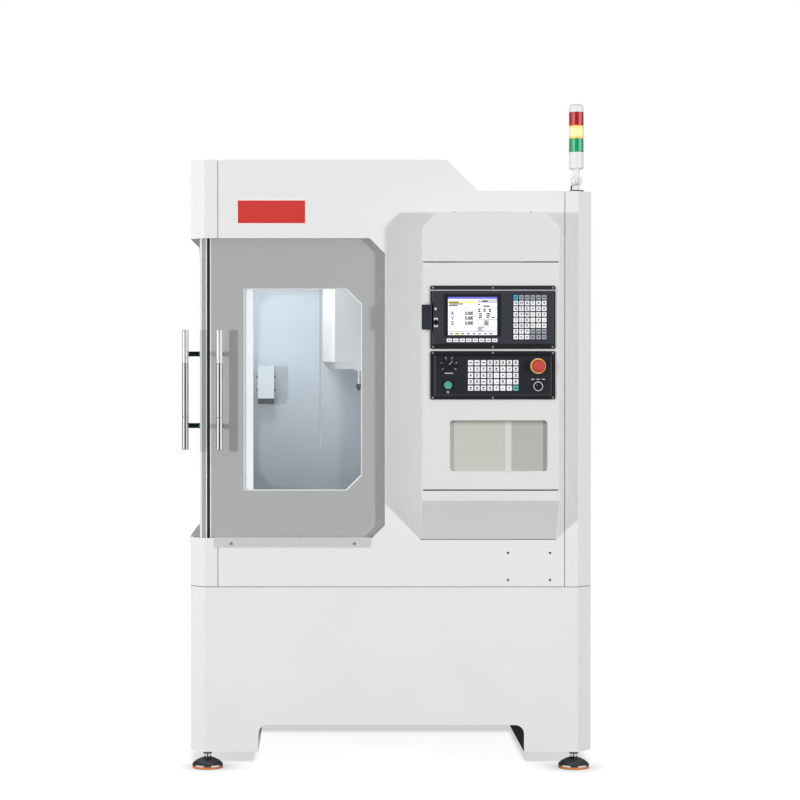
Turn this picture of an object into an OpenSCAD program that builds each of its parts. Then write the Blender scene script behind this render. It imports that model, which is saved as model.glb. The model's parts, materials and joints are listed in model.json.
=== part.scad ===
/* [Cabinet] */
// Width of the cabinet
cab_w = 1266; // [1240:2:1500]
// Depth of the cabinet
cab_d = 1200; // [1180:10:1500]
// Height of the seam between base and cabin
base_top = 579; // [560:1:600]
// Height of the lower roof on the right
low_roof = 1822; // [1790:1:1900]
// Height of the hood roof on the left
high_roof = 1920; // [1900:1:2000]
// Place of the roof bend, from the cabinet centre
slope_x = 174; // [100:1:240]
// Leg of the chamfer on the vertical corners
corner_c = 46; // [20:1:50]
// Width of a corner post
post_w = 88; // [70:1:95]
// Thickness of the cabinet sheet
sheet_t = 3; // [2:0.5:4]
// Gap at a sheet seam
seam = 2; // [1:0.5:4]
// Depth of a folded sheet edge
fold_d = 25; // [15:1:30]

/* [Base] */
// Height of the base above the floor
foot_gap = 58; // [50:1:80]
// Thickness of the base plate walls
base_t = 4; // [3:0.5:6]
// Width of the cut-outs at front and back
cut_w = 836; // [500:1:900]
// Height of the cut-outs
cut_h = 85; // [60:1:88]
// Corner radius of the cut-outs
cut_r = 28; // [10:1:40]
// Height of the deck that carries the bed
deck_z = 150; // [149:1:200]
// Thickness of the deck
deck_t = 8; // [6:1:12]
// Inset of the feet from the cabinet sides
foot_in = 53; // [50:1:60]
// Diameter of a foot disc
foot_d = 97; // [60:1:100]
// Diameter of a foot stem
stem_d = 19; // [12:0.5:24]

/* [Door opening] */
// Distance from the corner to the closing edge of an opening
open_end = 613; // [560:1:640]
// Height of the sill
sill_z = 731; // [715:1:760]
// Height of the lintel
lintel_z = 1674; // [1640:1:1690]
// Leg of the upper chamfer of an opening
open_c_top = 48; // [20:1:70]
// Leg of the lower chamfer of an opening
open_c_low = 40; // [20:1:70]
// Depth of the folded reveal
reveal_d = 27; // [20:1:28]

/* [Doors] */
// Depth of the glass behind the wall
door_recess = 30; // [30:0.5:34]
// Thickness of the door glass
glass_t = 6; // [4:0.5:8]
// Depth of the inner door frame
frame_d = 16; // [12:1:20]
// Overlap of a door behind its wall
door_lap = 60; // [40:1:70]
// Corner distance of the front door's edge
front_start = 62; // [61:0.5:70]
// Corner distance of the side door's edge
side_start = 30; // [28:0.5:34]
// Left edge of the window, from the cabinet corner
win_left = 171; // [150:1:220]
// Right edge of the window, from the cabinet corner
win_right = 539; // [480:1:550]
// Bottom of the window
win_low = 882; // [850:1:950]
// Top of the window
win_top = 1514; // [1400:1:1560]
// Leg of the window's corner chamfers
win_c = 48; // [20:1:70]
// Width of the stile that shows inside the window
stile_w = 27; // [15:1:40]
// Height of the door rail's lower edge
rail_z = 1716; // [1712:1:1725]
// Height of the door rail
rail_h = 30; // [20:1:34]

/* [Handles] */
// Diameter of a handle bar
bar_d = 21; // [16:0.5:26]
// Length of a handle bar
bar_len = 380; // [300:1:450]
// Height of the middle of a handle
bar_z = 1197; // [1150:1:1250]
// Distance between the posts of a handle
post_span = 227; // [180:1:260]
// Distance from the door to the middle of the bar
bar_off = 48; // [40:1:60]
// Diameter of a handle post
post_d = 16; // [10:0.5:18]
// Distance from the door edge to the handle
bar_in = 32; // [26:1:45]

/* [Console] */
// Width of the console
con_w = 424; // [420:1:440]
// Distance from the cabinet side to the console
con_in = 117; // [110:1:120]
// Depth of the console in front of the wall
con_d = 115; // [90:1:140]
// Top of the console
con_top = 1747; // [1740:1:1760]
// Lower edge of the cap
cap_low = 1596; // [1580:1:1610]
// Bottom of the console front
con_low = 856; // [840:1:870]
// Height of the lip at the bottom
lip_h = 31; // [20:1:36]
// Drop of the inclined underside towards the wall
con_drop = 130; // [80:1:150]
// Leg of the cap's corner chamfers
cap_c = 45; // [20:1:60]
// Gap between the front plates
plate_gap = 4; // [3:1:9]
// Thickness of the control units
unit_t = 10; // [8:0.5:14]
// Width of the control units
unit_w = 386; // [380:1:390]
// Bottom of the upper control unit
cnc_low = 1325; // [1322:1:1330]
// Height of the upper control unit
cnc_h = 196; // [190:1:205]
// Height of the operation panel
op_h = 150; // [148:1:156]
// Gap between the control units
unit_gap = 6; // [2:0.5:9]

/* [Switches] */
// Diameter of the emergency stop head
stop_d = 40; // [34:1:44]
// Height of the emergency stop in front of its panel
stop_h = 38; // [32:1:44]
// Travel of the emergency stop
stop_travel = 5; // [3:0.5:6]
// Diameter of the override dial
dial_d = 31; // [24:1:34]
// Diameter of the start button
start_d = 29; // [20:1:30]
// Travel of the start button
start_travel = 3; // [2:0.5:4]
// Diameter of the key switch ring
key_d = 30; // [24:1:34]

/* [Machine] */
// Distance of the spindle in front of the cabinet centre
spindle_y = 150; // [140:1:170]
// Length of the table
table_l = 600; // [500:10:640]
// Depth of the table
table_d = 240; // [240:1:260]
// Thickness of the table
table_t = 50; // [45:1:60]
// Width of a T-slot
slot_w = 14; // [10:1:18]
// Distance between T-slots
slot_p = 63; // [55:1:70]
// Length of the saddle
saddle_l = 660; // [650:10:700]
// Depth of the saddle
saddle_d = 260; // [250:1:270]
// Thickness of the saddle
saddle_t = 70; // [68:1:80]
// Width of the bed
bed_w = 340; // [310:1:360]
// Height of the guide seats on the bed
bed_z = 640; // [630:1:645]
// Width of the column
column_w = 300; // [290:1:340]
// Distance of the column top under the lower roof
column_under = 122; // [100:1:135]
// Width of the head cover
cover_w = 426; // [380:1:440]
// Bottom of the head cover
cover_z = 1262; // [1240:1:1280]
// Height of the head cover
cover_h = 398; // [390:1:405]
// Distance of the cover's front from the spindle
cover_front = 150; // [130:1:160]
// Diameter of the spindle
rotor_d = 70; // [50:1:80]
// Diameter of the tool bore
tool_d = 16; // [10:0.5:25]
// Depth of the tool bore
tool_depth = 45; // [30:1:60]
// Diameter of a ball screw
screw_d = 20; // [16:1:24]
// Running clearance of shafts in their bores
run_gap = 0.05; // [0.02:0.01:0.1]
// Width of a guide rail
guide_w = 23; // [20:1:25]
// Height of a guide rail
guide_h = 22; // [18:1:24]
// Height of a rail with its carriage
guide_stack = 36; // [34:1:42]

/* [Signal tower] */
// Inset of the tower from the cabinet side
tower_in = 47; // [40:1:60]
// Diameter of the lamps
lamp_d = 46; // [36:1:50]
// Height of a lamp
lamp_h = 42; // [34:1:46]
// Diameter of the tower tube
tube_d = 21; // [16:0.5:24]

/* [Hidden] */
$fn = 48;

// Half angle factor of a 45 degree bend
bend_k = tan(22.5);
left_x = -cab_w / 2;
right_x = cab_w / 2;
front_y = -cab_d / 2;
back_y = cab_d / 2;
// The part stands with the middle of its box at the origin
unit_y = front_y - con_d - unit_t;
min_x = left_x + door_recess - bar_off - bar_d / 2;
min_y = unit_y - stop_h;
place_x = -(min_x + right_x) / 2;
place_y = -(min_y + back_y) / 2;

module placed() {
    translate([place_x, place_y, 0]) children();
}

// Box between two corners
module block(a, b) {
    translate(a) cube(b - a);
}

// Solid along Y from an outline in the X-Z plane
module along_y(y0, y1) {
    translate([0, y1, 0]) rotate([90, 0, 0]) linear_extrude(y1 - y0) children();
}

// Solid along X from an outline in the Y-Z plane
module along_x(x0, x1) {
    translate([x0, 0, 0]) rotate([90, 0, 90]) linear_extrude(x1 - x0) children();
}

// Round bar along each axis
module rod_x(x0, x1, d) {
    translate([x0, 0, 0]) rotate([0, 90, 0]) cylinder(h = x1 - x0, d = d);
}

module rod_y(y0, y1, d) {
    translate([0, y0, 0]) rotate([-90, 0, 0]) cylinder(h = y1 - y0, d = d);
}

module rod_z(z0, z1, d) {
    translate([0, 0, z0]) cylinder(h = z1 - z0, d = d);
}

// Wall coordinates: x along the wall from the front left corner, y into the cabinet
module on_front() {
    translate([left_x, front_y, 0]) children();
}

module on_left() {
    translate([left_x, front_y, 0]) mirror([1, -1, 0]) children();
}

// Cabinet outline with chamfered corners, moved inwards by i
function outline(i) =
    let (x = cab_w / 2 - i, y = cab_d / 2 - i, c = corner_c - i * (1 - bend_k))
    [[c - x, -y], [x - c, -y], [x, c - y], [x, y - c], [x - c, y], [c - x, y], [-x, y - c], [-x, c - y]];

module cabinet_ring(z0, z1, i0, i1) {
    translate([0, 0, z0]) linear_extrude(z1 - z0) difference() {
        polygon(outline(i0));
        polygon(outline(i1));
    }
}

// Foot of the cabin sheets, with a shadow groove under it
sheet_z = base_top;
groove = 2;
flange_w = 2 * fold_d;
plate_w = 112;
stem_top = 24;

module rounded_gap(w, h, r) {
    translate([r - w / 2, h - r]) circle(r);
    translate([w / 2 - r, h - r]) circle(r);
    translate([r - w / 2, 0]) square([w - 2 * r, h]);
    translate([-w / 2, -1]) square([w, h - r + 1]);
}

module at_feet() {
    for (x = [left_x + foot_in, right_x - foot_in], y = [front_y + foot_in, back_y - foot_in])
        translate([x, y, 0]) children();
}

module base() {
    color("whitesmoke") difference() {
        union() {
            cabinet_ring(foot_gap, base_top, 0, base_t);
            cabinet_ring(base_top - base_t, base_top, base_t, flange_w);
            cabinet_ring(deck_z - base_t, deck_z, base_t, flange_w);
            translate([0, 0, deck_z]) linear_extrude(deck_t) polygon(outline(base_t));
            for (x = [-cut_w / 2 - base_t, cut_w / 2])
                block([x, front_y + base_t, foot_gap], [x + base_t, back_y - base_t, deck_z]);
            intersection() {
                translate([0, 0, foot_gap]) linear_extrude(deck_t) polygon(outline(base_t));
                at_feet() translate([-plate_w / 2, -plate_w / 2, 0]) cube([plate_w, plate_w, base_top]);
            }
        }
        cabinet_ring(base_top - groove, base_top + 1, -1, groove);
        along_y(front_y - 1, front_y + base_t) translate([0, foot_gap]) rounded_gap(cut_w, cut_h, cut_r);
        along_y(back_y - base_t, back_y + 1) translate([0, foot_gap]) rounded_gap(cut_w, cut_h, cut_r);
        at_feet() rod_z(foot_gap - 1, foot_gap + deck_t + 1, stem_d + 2 * run_gap);
    }
}

pad_h = 8;
disc_h = 28;
nut_d = 31;
nut_h = 13;

// Dome of a foot: share of the rim radius and share of the dome height
dome = [[1, 0], [1, 0.15], [0.94, 0.3], [0.74, 0.56], [0.5, 0.77], [0.3, 0.9]];

module levelling_feet() {
    neck = stem_d / 2;
    color("silver") at_feet() {
        rotate_extrude() polygon(concat(
            [[0, pad_h]], [for (q = dome) [q[0] * foot_d / 2, pad_h + q[1] * disc_h]],
            [[neck, pad_h + disc_h], [neck, foot_gap + stem_top], [0, foot_gap + stem_top]]));
        difference() {
            rotate([0, 0, 30]) translate([0, 0, foot_gap - nut_h])
                cylinder(h = nut_h, d = nut_d, $fn = 6);
            rod_z(0, foot_gap + 1, stem_d + 2 * run_gap);
        }
    }
}

module foot_pads() {
    color("peru") at_feet() rod_z(0, pad_h, foot_d);
}

// The end plates of the front left posts stay clear of the side door's edge
lip_gap = 2;
corner_lip = (side_start + door_recess - corner_c) / sqrt(2) - lip_gap;

// One corner of the cabin: a folded post with end plates
module corner_post(z0, z1, lip) {
    edge = right_x - post_w + seam / 2;
    side = back_y - post_w + seam / 2;
    intersection() {
        union() {
            cabinet_ring(z0, z1, 0, sheet_t);
            cabinet_ring(z0, z0 + sheet_t, 0, lip);
            cabinet_ring(z1 - sheet_t, z1, 0, lip);
        }
        block([edge, side, z0], [right_x, back_y, z1]);
    }
    block([edge, back_y - fold_d, z0], [edge + sheet_t, back_y, z1]);
    block([right_x - fold_d, side, z0], [right_x, side + sheet_t, z1]);
}

module corner_posts() {
    color("whitesmoke") {
        corner_post(sheet_z, low_roof - sheet_t, reveal_d);
        mirror([0, 1, 0]) corner_post(sheet_z, low_roof - sheet_t, reveal_d);
        mirror([1, 0, 0]) {
            corner_post(sheet_z, high_roof - sheet_t, reveal_d);
            mirror([0, 1, 0]) corner_post(sheet_z, sill_z, corner_lip);
            mirror([0, 1, 0]) corner_post(lintel_z, high_roof - sheet_t, corner_lip);
        }
    }
}

// Roof line over the whole width, at a depth t under the top
slope_run = high_roof - low_roof;
function roof_line(t) = [
    [right_x, low_roof - t], [slope_x + slope_run - t * bend_k, low_roof - t],
    [slope_x - t * bend_k, high_roof - t], [left_x, high_roof - t]
];

module roof() {
    color("whitesmoke") intersection() {
        along_y(front_y, back_y) polygon(concat(
            roof_line(0), [for (i = [3:-1:0]) roof_line(sheet_t)[i]]));
        translate([0, 0, low_roof - slope_run]) linear_extrude(3 * slope_run) polygon(outline(0));
    }
}

// Outline of a door opening in wall coordinates, grown by g
function opening(g) = [
    [-cab_w, sill_z - g], [open_end - open_c_low + g * bend_k, sill_z - g],
    [open_end + g, sill_z + open_c_low - g * bend_k], [open_end + g, lintel_z - open_c_top + g * bend_k],
    [open_end - open_c_top + g * bend_k, lintel_z + g], [-cab_w, lintel_z + g]
];

// Folded edges of a wall sheet that stands between two posts
module wall_folds(s0, s1, z1, z2) {
    block([s0, 0, sheet_z], [s0 + sheet_t, fold_d, z1]);
    block([s1 - sheet_t, 0, sheet_z], [s1, fold_d, z2]);
    block([s0, 0, sheet_z], [s1, fold_d, sheet_z + sheet_t]);
}

module door_wall(s0, s1, z1, z2) {
    difference() {
        union() {
            children();
            wall_folds(s0, s1, z1, z2);
            intersection() {
                along_y(0, reveal_d) polygon(opening(sheet_t));
                block([s0, 0, sheet_z], [s1, reveal_d, z1]);
            }
        }
        along_y(-1, reveal_d + fold_d) polygon(opening(0));
    }
}

module front_panel() {
    s0 = post_w + seam / 2;
    s1 = cab_w - post_w - seam / 2;
    color("whitesmoke") on_front() door_wall(s0, s1, high_roof - sheet_t, low_roof - sheet_t)
        along_y(0, sheet_t) polygon([
            [s0, sheet_z], [s1, sheet_z], [s1, low_roof - sheet_t],
            roof_line(sheet_t)[1] - [left_x, 0], roof_line(sheet_t)[2] - [left_x, 0],
            [s0, high_roof - sheet_t]
        ]);
}

module left_panel() {
    s0 = post_w + seam / 2;
    s1 = cab_d - post_w - seam / 2;
    color("whitesmoke") on_left() door_wall(s0, s1, high_roof - sheet_t, high_roof - sheet_t)
        block([s0, 0, sheet_z], [s1, sheet_t, high_roof - sheet_t]);
}

// Pressed louvre: a slot with its blade leaning inwards, in wall coordinates
louvre_w = 140;
louvre_h = 9;
louvre_p = 26;
blade_d = 10;
blade_t = 2;

module louvre_cuts(rows) {
    for (i = [0:rows - 1]) translate([0, 0, i * louvre_p])
        block([-louvre_w / 2, -1, 0], [louvre_w / 2, sheet_t + 1, louvre_h]);
}

module louvre_blades(rows) {
    root = sheet_t - 1;
    tip = sheet_t + blade_d;
    for (i = [0:rows - 1]) translate([0, 0, i * louvre_p + louvre_h + blade_t])
        along_x(-louvre_w / 2, louvre_w / 2) polygon([
            [root, 0], [root, blade_t], [tip, blade_t - blade_d], [tip, -blade_d]
        ]);
}

louvre_rows = 9;
right_louvre_in = 360;
right_louvre_z = 1400;
back_louvre_x = 300;
back_louvre_z = 1250;
gland_d = 20;
gland_x = 330;
gland_z = 760;
gland_len = 14;
gland_wall = 8;

module right_panel() {
    s0 = post_w + seam / 2;
    s1 = cab_d - post_w - seam / 2;
    color("whitesmoke") translate([right_x, front_y, 0]) mirror([1, -1, 0]) mirror([0, 1, 0]) {
        difference() {
            union() {
                block([s0, 0, sheet_z], [s1, sheet_t, low_roof - sheet_t]);
                wall_folds(s0, s1, low_roof - sheet_t, low_roof - sheet_t);
            }
            translate([cab_d - right_louvre_in, 0, right_louvre_z]) louvre_cuts(louvre_rows);
        }
        translate([cab_d - right_louvre_in, 0, right_louvre_z]) louvre_blades(louvre_rows);
    }
}

module back_panel() {
    s0 = post_w + seam / 2 - cab_w / 2;
    s1 = -s0;
    color("whitesmoke") translate([0, back_y, 0]) mirror([0, 1, 0]) {
        difference() {
            union() {
                along_y(0, sheet_t) polygon([
                    [s0, sheet_z], [s1, sheet_z], [s1, low_roof - sheet_t],
                    roof_line(sheet_t)[1], roof_line(sheet_t)[2], [s0, high_roof - sheet_t]
                ]);
                wall_folds(s0, s1, high_roof - sheet_t, low_roof - sheet_t);
                translate([gland_x, 0, gland_z])
                    rod_y(sheet_t, sheet_t + gland_len, gland_d + 2 * gland_wall);
            }
            for (x = [-back_louvre_x, back_louvre_x]) translate([x, 0, back_louvre_z])
                louvre_cuts(louvre_rows);
            translate([gland_x, 0, gland_z]) rod_y(-1, sheet_t + gland_len + 1, gland_d);
        }
        for (x = [-back_louvre_x, back_louvre_x]) translate([x, 0, back_louvre_z])
            louvre_blades(louvre_rows);
    }
}

// Doors, in wall coordinates
door_under = 17;
door_over = 26;
door_low = sill_z - door_under;
door_top = lintel_z + door_over;
door_end = open_end + door_lap;
door_back = door_recess + glass_t + frame_d;

module door_glass(s0) {
    color("darkgray") block([s0, door_recess, door_low], [door_end, door_recess + glass_t, door_top]);
}

// Outline of the window in the inner frame
function window() = [
    [win_left + stile_w, win_low], [win_right - win_c, win_low], [win_right, win_low + win_c],
    [win_right, win_top - win_c], [win_right - win_c, win_top], [win_left + stile_w, win_top]
];

// Hanger shoe that runs on the rail, on a plate let into the frame
rail_t = 6;
rail_back = 11;
rail_d = door_recess + rail_back;
hang_w = 60;
hang_t = 4;
hang_lap = 60;
shoe_h = 20;
shoe_t = 5;
shoe_lap = 8;
slide_gap = 0.3;
hang_in = 70;

module door_hanger() {
    shoe_z = rail_z + rail_h + slide_gap;
    block([-hang_w / 2, door_back - hang_t, door_top - hang_lap], [hang_w / 2, door_back, shoe_z + shoe_h]);
    difference() {
        block([-hang_w / 2, rail_d - shoe_t, rail_z + rail_h - shoe_lap],
            [hang_w / 2, door_back, shoe_z + shoe_h]);
        block([-hang_w, rail_d - slide_gap, 0], [hang_w, rail_d + rail_t + slide_gap, shoe_z]);
    }
}

module door_frame(s0) {
    color("white") {
        difference() {
            block([s0, door_recess + glass_t, door_low], [door_end, door_back, door_top]);
            along_y(door_recess, door_back + 1) polygon(window());
        }
        for (s = [s0 + hang_in, door_end - hang_in]) translate([s, 0, 0]) door_hanger();
    }
}

// Turned handle bar on two posts that plug into its back
ring_z = 85;
ring_d = 1.5;
bar_edge = 2;
flare_d = 22;
flare_h = 4;
post_step = 3;

// Half profile of the bar, from its middle to its end
function bar_half(d) = [
    [d / 2, ring_z - ring_d], [d / 2 - ring_d / 2, ring_z], [d / 2, ring_z + ring_d],
    [d / 2, bar_len / 2 - bar_edge], [d / 2 - bar_edge, bar_len / 2], [0, bar_len / 2]
];

module door_handle(s0) {
    tip_d = post_d - 2 * post_step;
    neck = bar_off - bar_d / 2;
    color("silver") translate([s0 + bar_in, door_recess, bar_z]) {
        difference() {
            translate([0, -bar_off, 0]) rotate_extrude() polygon(concat(
                bar_half(bar_d), [for (i = [5:-1:0]) [bar_half(bar_d)[i][0], -bar_half(bar_d)[i][1]]]));
            for (z = [-post_span / 2, post_span / 2]) translate([0, 0, z])
                rod_y(-bar_off, 0, tip_d + 2 * run_gap);
        }
        for (z = [-post_span / 2, post_span / 2]) translate([0, 0, z]) rotate([90, 0, 0])
            rotate_extrude() polygon([
                [0, 0], [flare_d / 2, 0], [post_d / 2, flare_h], [post_d / 2, neck - 1],
                [tip_d / 2, neck + 1], [tip_d / 2, bar_off], [0, bar_off]
            ]);
    }
}

module front_glass() { on_front() door_glass(front_start); }
module front_frame() { on_front() door_frame(front_start); }
module front_handle() { on_front() door_handle(front_start); }
module side_glass() { on_left() door_glass(side_start); }
module side_frame() { on_left() door_frame(side_start); }
module side_handle() { on_left() door_handle(side_start); }

// Hollow rubber strip on the edge of the front door
seal_wall = 2;

module corner_seal() {
    seal_w = front_start - door_back - slide_gap;
    color("black") on_front() difference() {
        block([front_start - seal_w, door_recess + 1, door_low], [front_start, door_back - 1, door_top]);
        block([front_start - seal_w + seal_wall, door_recess + 1 + seal_wall, door_low - 1],
            [front_start - seal_wall, door_back - 1 - seal_wall, door_top + 1]);
    }
}

strip_t = 2.5;
strip_h = 29;
strip_start = 77;
strip_end = 568;
bracket_w = 24;
bracket_h = 12;
bracket_in = 2;
rail_in = 7;

module door_track(wall_len) {
    rail_start = post_w + rail_in;
    rail_end = wall_len - post_w - rail_in;
    block([rail_start, rail_d, rail_z], [rail_end, rail_d + rail_t, rail_z + rail_h]);
    for (s = [rail_start + bracket_in, wall_len / 2, rail_end - bracket_w - bracket_in])
        block([s, sheet_t, rail_z], [s + bracket_w, rail_d, rail_z + bracket_h]);
    block([strip_start, -strip_t, sill_z - strip_h], [strip_end, 0, sill_z + strip_t]);
    block([strip_start, 0, sill_z], [min(strip_end, open_end - open_c_low), reveal_d, sill_z + strip_t]);
}

module door_tracks() {
    color("lightgray") {
        on_front() door_track(cab_w);
        on_left() door_track(cab_d);
    }
}

// Welded tub around the work space
liner_in = 40;
liner_x = right_x - liner_in;
liner_y = 130;
liner_z = 600;
liner_gap = 18;
liner_front = front_y + door_back + liner_gap;
liner_left = left_x + door_back + liner_gap;
liner_under = 10;
liner_lap = 20;
liner_clear = 10;
bed_gap = bed_w / 2 + liner_clear;
head_slot = cover_w / 2 + liner_clear;
slot_z = 990;
tunnel_z = 695;
tray_in = 30;
tray_gap = 10;
tray_lip = 5;

module chamber_liner() {
    back = liner_y + sheet_t;
    top = low_roof - liner_under;
    front_end = left_x + door_end + liner_lap;
    tray_edge = post_w + tray_gap;
    color("lightsteelblue") {
        difference() {
            union() {
                block([liner_left, liner_y, liner_z], [liner_x + sheet_t, back, top]);
                block([liner_left, liner_y, liner_z], [-head_slot, back, high_roof - liner_under]);
            }
            block([-head_slot, liner_y - 1, slot_z], [head_slot, back + 1, high_roof]);
            block([-bed_gap, liner_y - 1, 0], [bed_gap, back + 1, tunnel_z]);
        }
        block([liner_x, liner_front, liner_z], [liner_x + sheet_t, back, top]);
        block([front_end, liner_front, liner_z], [liner_x + sheet_t, liner_front + sheet_t, top]);
        translate([0, 0, liner_z]) linear_extrude(sheet_t) difference() {
            union() {
                tray_field([left_x + tray_in, front_y + tray_in], [right_x - tray_in, back]);
                tray_field([left_x + tray_edge, front_y + sheet_t], [right_x - tray_edge, 0]);
                tray_field([left_x + sheet_t, front_y + tray_edge], [right_x - sheet_t, 0]);
            }
            tray_field([-bed_gap, front_y + tray_in + tray_lip], [bed_gap, back + 1]);
        }
    }
}

module tray_field(a, b) {
    translate(a) square(b - a);
}

box_x = -437;
box_w = 56;
box_z = 1160;
box_h = 113;
box_d = 60;

module cover_box() {
    color("white") difference() {
        block([box_x, liner_y - box_d, box_z], [box_x + box_w, liner_y, box_z + box_h]);
        block([box_x + sheet_t, liner_y - box_d + sheet_t, box_z + sheet_t],
            [box_x + box_w - sheet_t, liner_y + 1, box_z + box_h - sheet_t]);
    }
}

// Console
con_x1 = right_x - con_in;
con_x0 = con_x1 - con_w;
con_y = front_y - con_d;
plate_in = 1;
panel_low = con_low + lip_h + plate_gap;
panel_top = cap_low - plate_gap;

// Front view of the console, moved inwards by i
function console_outline(i) =
    let (z = con_low - con_drop - 1 + i, c = cap_c + i * (bend_k - 1))
    [[con_x0 + i, z], [con_x1 - i, z], [con_x1 - i, con_top - i - c], [con_x1 - i - c, con_top - i],
        [con_x0 + i + c, con_top - i], [con_x0 + i, con_top - i - c]];

module console_shell() {
    back = con_y + sheet_t;
    color("whitesmoke") {
        intersection() {
            along_y(back, front_y) difference() {
                polygon(console_outline(0));
                polygon(console_outline(sheet_t));
            }
            along_x(con_x0 - 1, con_x1 + 1) polygon([
                [con_y, con_low], [front_y, con_low - con_drop],
                [front_y, con_top + 1], [con_y, con_top + 1]
            ]);
        }
        along_x(con_x0, con_x1) polygon([
            [con_y, con_low], [front_y, con_low - con_drop], [front_y, con_low - con_drop + 2 * sheet_t],
            [back, con_low + 2 * sheet_t], [back, con_low + lip_h], [con_y, con_low + lip_h]
        ]);
    }
}

// Rectangle with round corners around its middle
module round_rect(w, h, r) {
    square([w - 2 * r, h], center = true);
    square([w, h - 2 * r], center = true);
    for (x = [r - w / 2, w / 2 - r], y = [r - h / 2, h / 2 - r]) translate([x, y]) circle(r);
}

// Viewing pane in the console
pane_w = 302;
pane_h = 157;
pane_r = 10;
pane_x = 236;
pane_z = 1026;
pane_deep = 14;
pane_t = 4;
pane_lap = 5;

module console_front() {
    color("white") {
        along_y(con_y, con_y + sheet_t) polygon(concat(
            [[con_x0, cap_low], [con_x1, cap_low]], [for (i = [2:5]) console_outline(0)[i]]));
        difference() {
            union() {
                block([con_x0 + plate_in, con_y, panel_low],
                    [con_x1 - plate_in, con_y + sheet_t, panel_top]);
                along_y(con_y, con_y + pane_deep) translate([con_x0 + pane_x, pane_z])
                    round_rect(pane_w + 2 * sheet_t, pane_h + 2 * sheet_t, pane_r + sheet_t);
            }
            along_y(con_y - 1, con_y + pane_deep + 1) translate([con_x0 + pane_x, pane_z])
                round_rect(pane_w, pane_h, pane_r);
        }
    }
}

module console_pane() {
    color("dimgray") along_y(con_y + pane_deep, con_y + pane_deep + pane_t)
        translate([con_x0 + pane_x, pane_z])
            square([pane_w + 2 * pane_lap, pane_h + 2 * pane_lap], center = true);
}

// Control units: places are from the lower left corner of each unit
unit_in = 24.5;
unit_x = con_x0 + unit_in;
op_low = cnc_low - unit_gap - op_h;
unit_bevel = 5;
unit_r = 6;
cnc_rim = [4, 12];
op_rim = [11, 11];
screen_x = 54;
screen_z = 43;
screen_w = 152;
screen_h = 118;
screen_deep = 6;
screen_t = 3;
sink_w = 12;
sink_low = 4;
sink_deep = 2;
mat_rim = 3;
mat_t = 2;
key_up = 1.6;
mat_gap = 0.2;
hole_deep = 9;
dial_at = [57, 107.5];
start_at = [54, 44.5];
stop_at = [332, 103.5];
key_at = [332, 41];
collar_h = 5;
collar_w = 4;
start_rim = 2;

// Key fields: lower left corner, columns, rows, key width, key height, pitches
mdi_field = [256, 30, 6, 8, 14.2, 14, 17.5, 17.5];
soft_field = [50, 21.5, 8, 1, 16.4, 11, 20, 20];
op_field = [116, 27.5, 8, 5, 15.8, 15.8, 19.9, 19.6];

module key_mat(field, grow, t) {
    rim = mat_rim + grow;
    w = (field[2] - 1) * field[6] + field[4];
    h = (field[3] - 1) * field[7] + field[5];
    translate([field[0] - rim, -t, field[1] - rim]) cube([w + 2 * rim, t, h + 2 * rim]);
}

module keys(field) {
    for (i = [0:field[2] - 1], j = [0:field[3] - 1])
        translate([field[0] + i * field[6], -mat_t - key_up, field[1] + j * field[7]])
            cube([field[4], mat_t + key_up, field[5]]);
}

module at_cnc() {
    translate([unit_x, unit_y, cnc_low]) children();
}

module at_op(place) {
    translate([unit_x + place[0], unit_y, op_low + place[1]]) children();
}

// Flange with round corners and a raised, bevelled face
module bevel_plate(w, h, rim) {
    flange = unit_t - unit_bevel;
    face = [w - 2 * rim[0], h - 2 * rim[1]];
    along_y(unit_bevel, unit_t) translate([w / 2, h / 2]) round_rect(w, h, unit_r);
    translate([rim[0], 0, rim[1]]) hull() {
        translate([0, unit_bevel, 0]) cube([face[0], flange / 2, face[1]]);
        translate([unit_bevel, 0, unit_bevel])
            cube([face[0] - 2 * unit_bevel, flange, face[1] - 2 * unit_bevel]);
    }
}

module collar(d, w) {
    rotate([90, 0, 0]) difference() {
        cylinder(h = collar_h, d = d);
        translate([0, 0, -1]) cylinder(h = collar_h + 2, d = d - 2 * w);
    }
}

module control_units() {
    color("darkslategray") {
        difference() {
            at_cnc() bevel_plate(unit_w, cnc_h, cnc_rim);
            at_cnc() translate([screen_x, -1, screen_z]) cube([screen_w, screen_deep + 1, screen_h]);
            at_cnc() translate([screen_x - sink_w, -1, screen_z - sink_low])
                cube([screen_w + 2 * sink_w, sink_deep + 1, screen_h + sink_w]);
            at_cnc() translate([port_x - mat_gap, -1, port_z - mat_gap])
                cube([port_w + 2 * mat_gap, port_deep + 1, port_h + 2 * mat_gap]);
            for (field = [mdi_field, soft_field]) at_cnc() translate([0, mat_t, 0])
                key_mat(field, mat_gap, mat_t + 1);
        }
        difference() {
            at_op([0, 0]) bevel_plate(unit_w, op_h, op_rim);
            at_op([0, 0]) translate([0, mat_t, 0]) key_mat(op_field, mat_gap, mat_t + 1);
            at_op(dial_at) rod_y(-1, hole_deep, shaft_d + 2 * run_gap);
            at_op(start_at) rod_y(-1, hole_deep, start_d - 2 * start_rim);
            at_op(stop_at) rod_y(-1, hole_deep, stop_stem + 2 * run_gap);
            at_op(key_at) rod_y(-1, hole_deep, key_d - 2 * collar_w);
        }
        at_op(start_at) collar(start_d, start_rim);
        at_op(key_at) collar(key_d, collar_w);
    }
}

module screen() {
    color("lightcyan") at_cnc() translate([screen_x + mat_gap, screen_deep - screen_t, screen_z + mat_gap])
        cube([screen_w - 2 * mat_gap, screen_t, screen_h - 2 * mat_gap]);
}

module membrane_keys() {
    color("gainsboro") {
        at_cnc() translate([0, mat_t, 0]) for (field = [mdi_field, soft_field]) {
            key_mat(field, 0, mat_t);
            keys(field);
        }
        at_op([0, 0]) translate([0, mat_t, 0]) {
            key_mat(op_field, 0, mat_t);
            keys(op_field);
        }
    }
}

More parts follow.
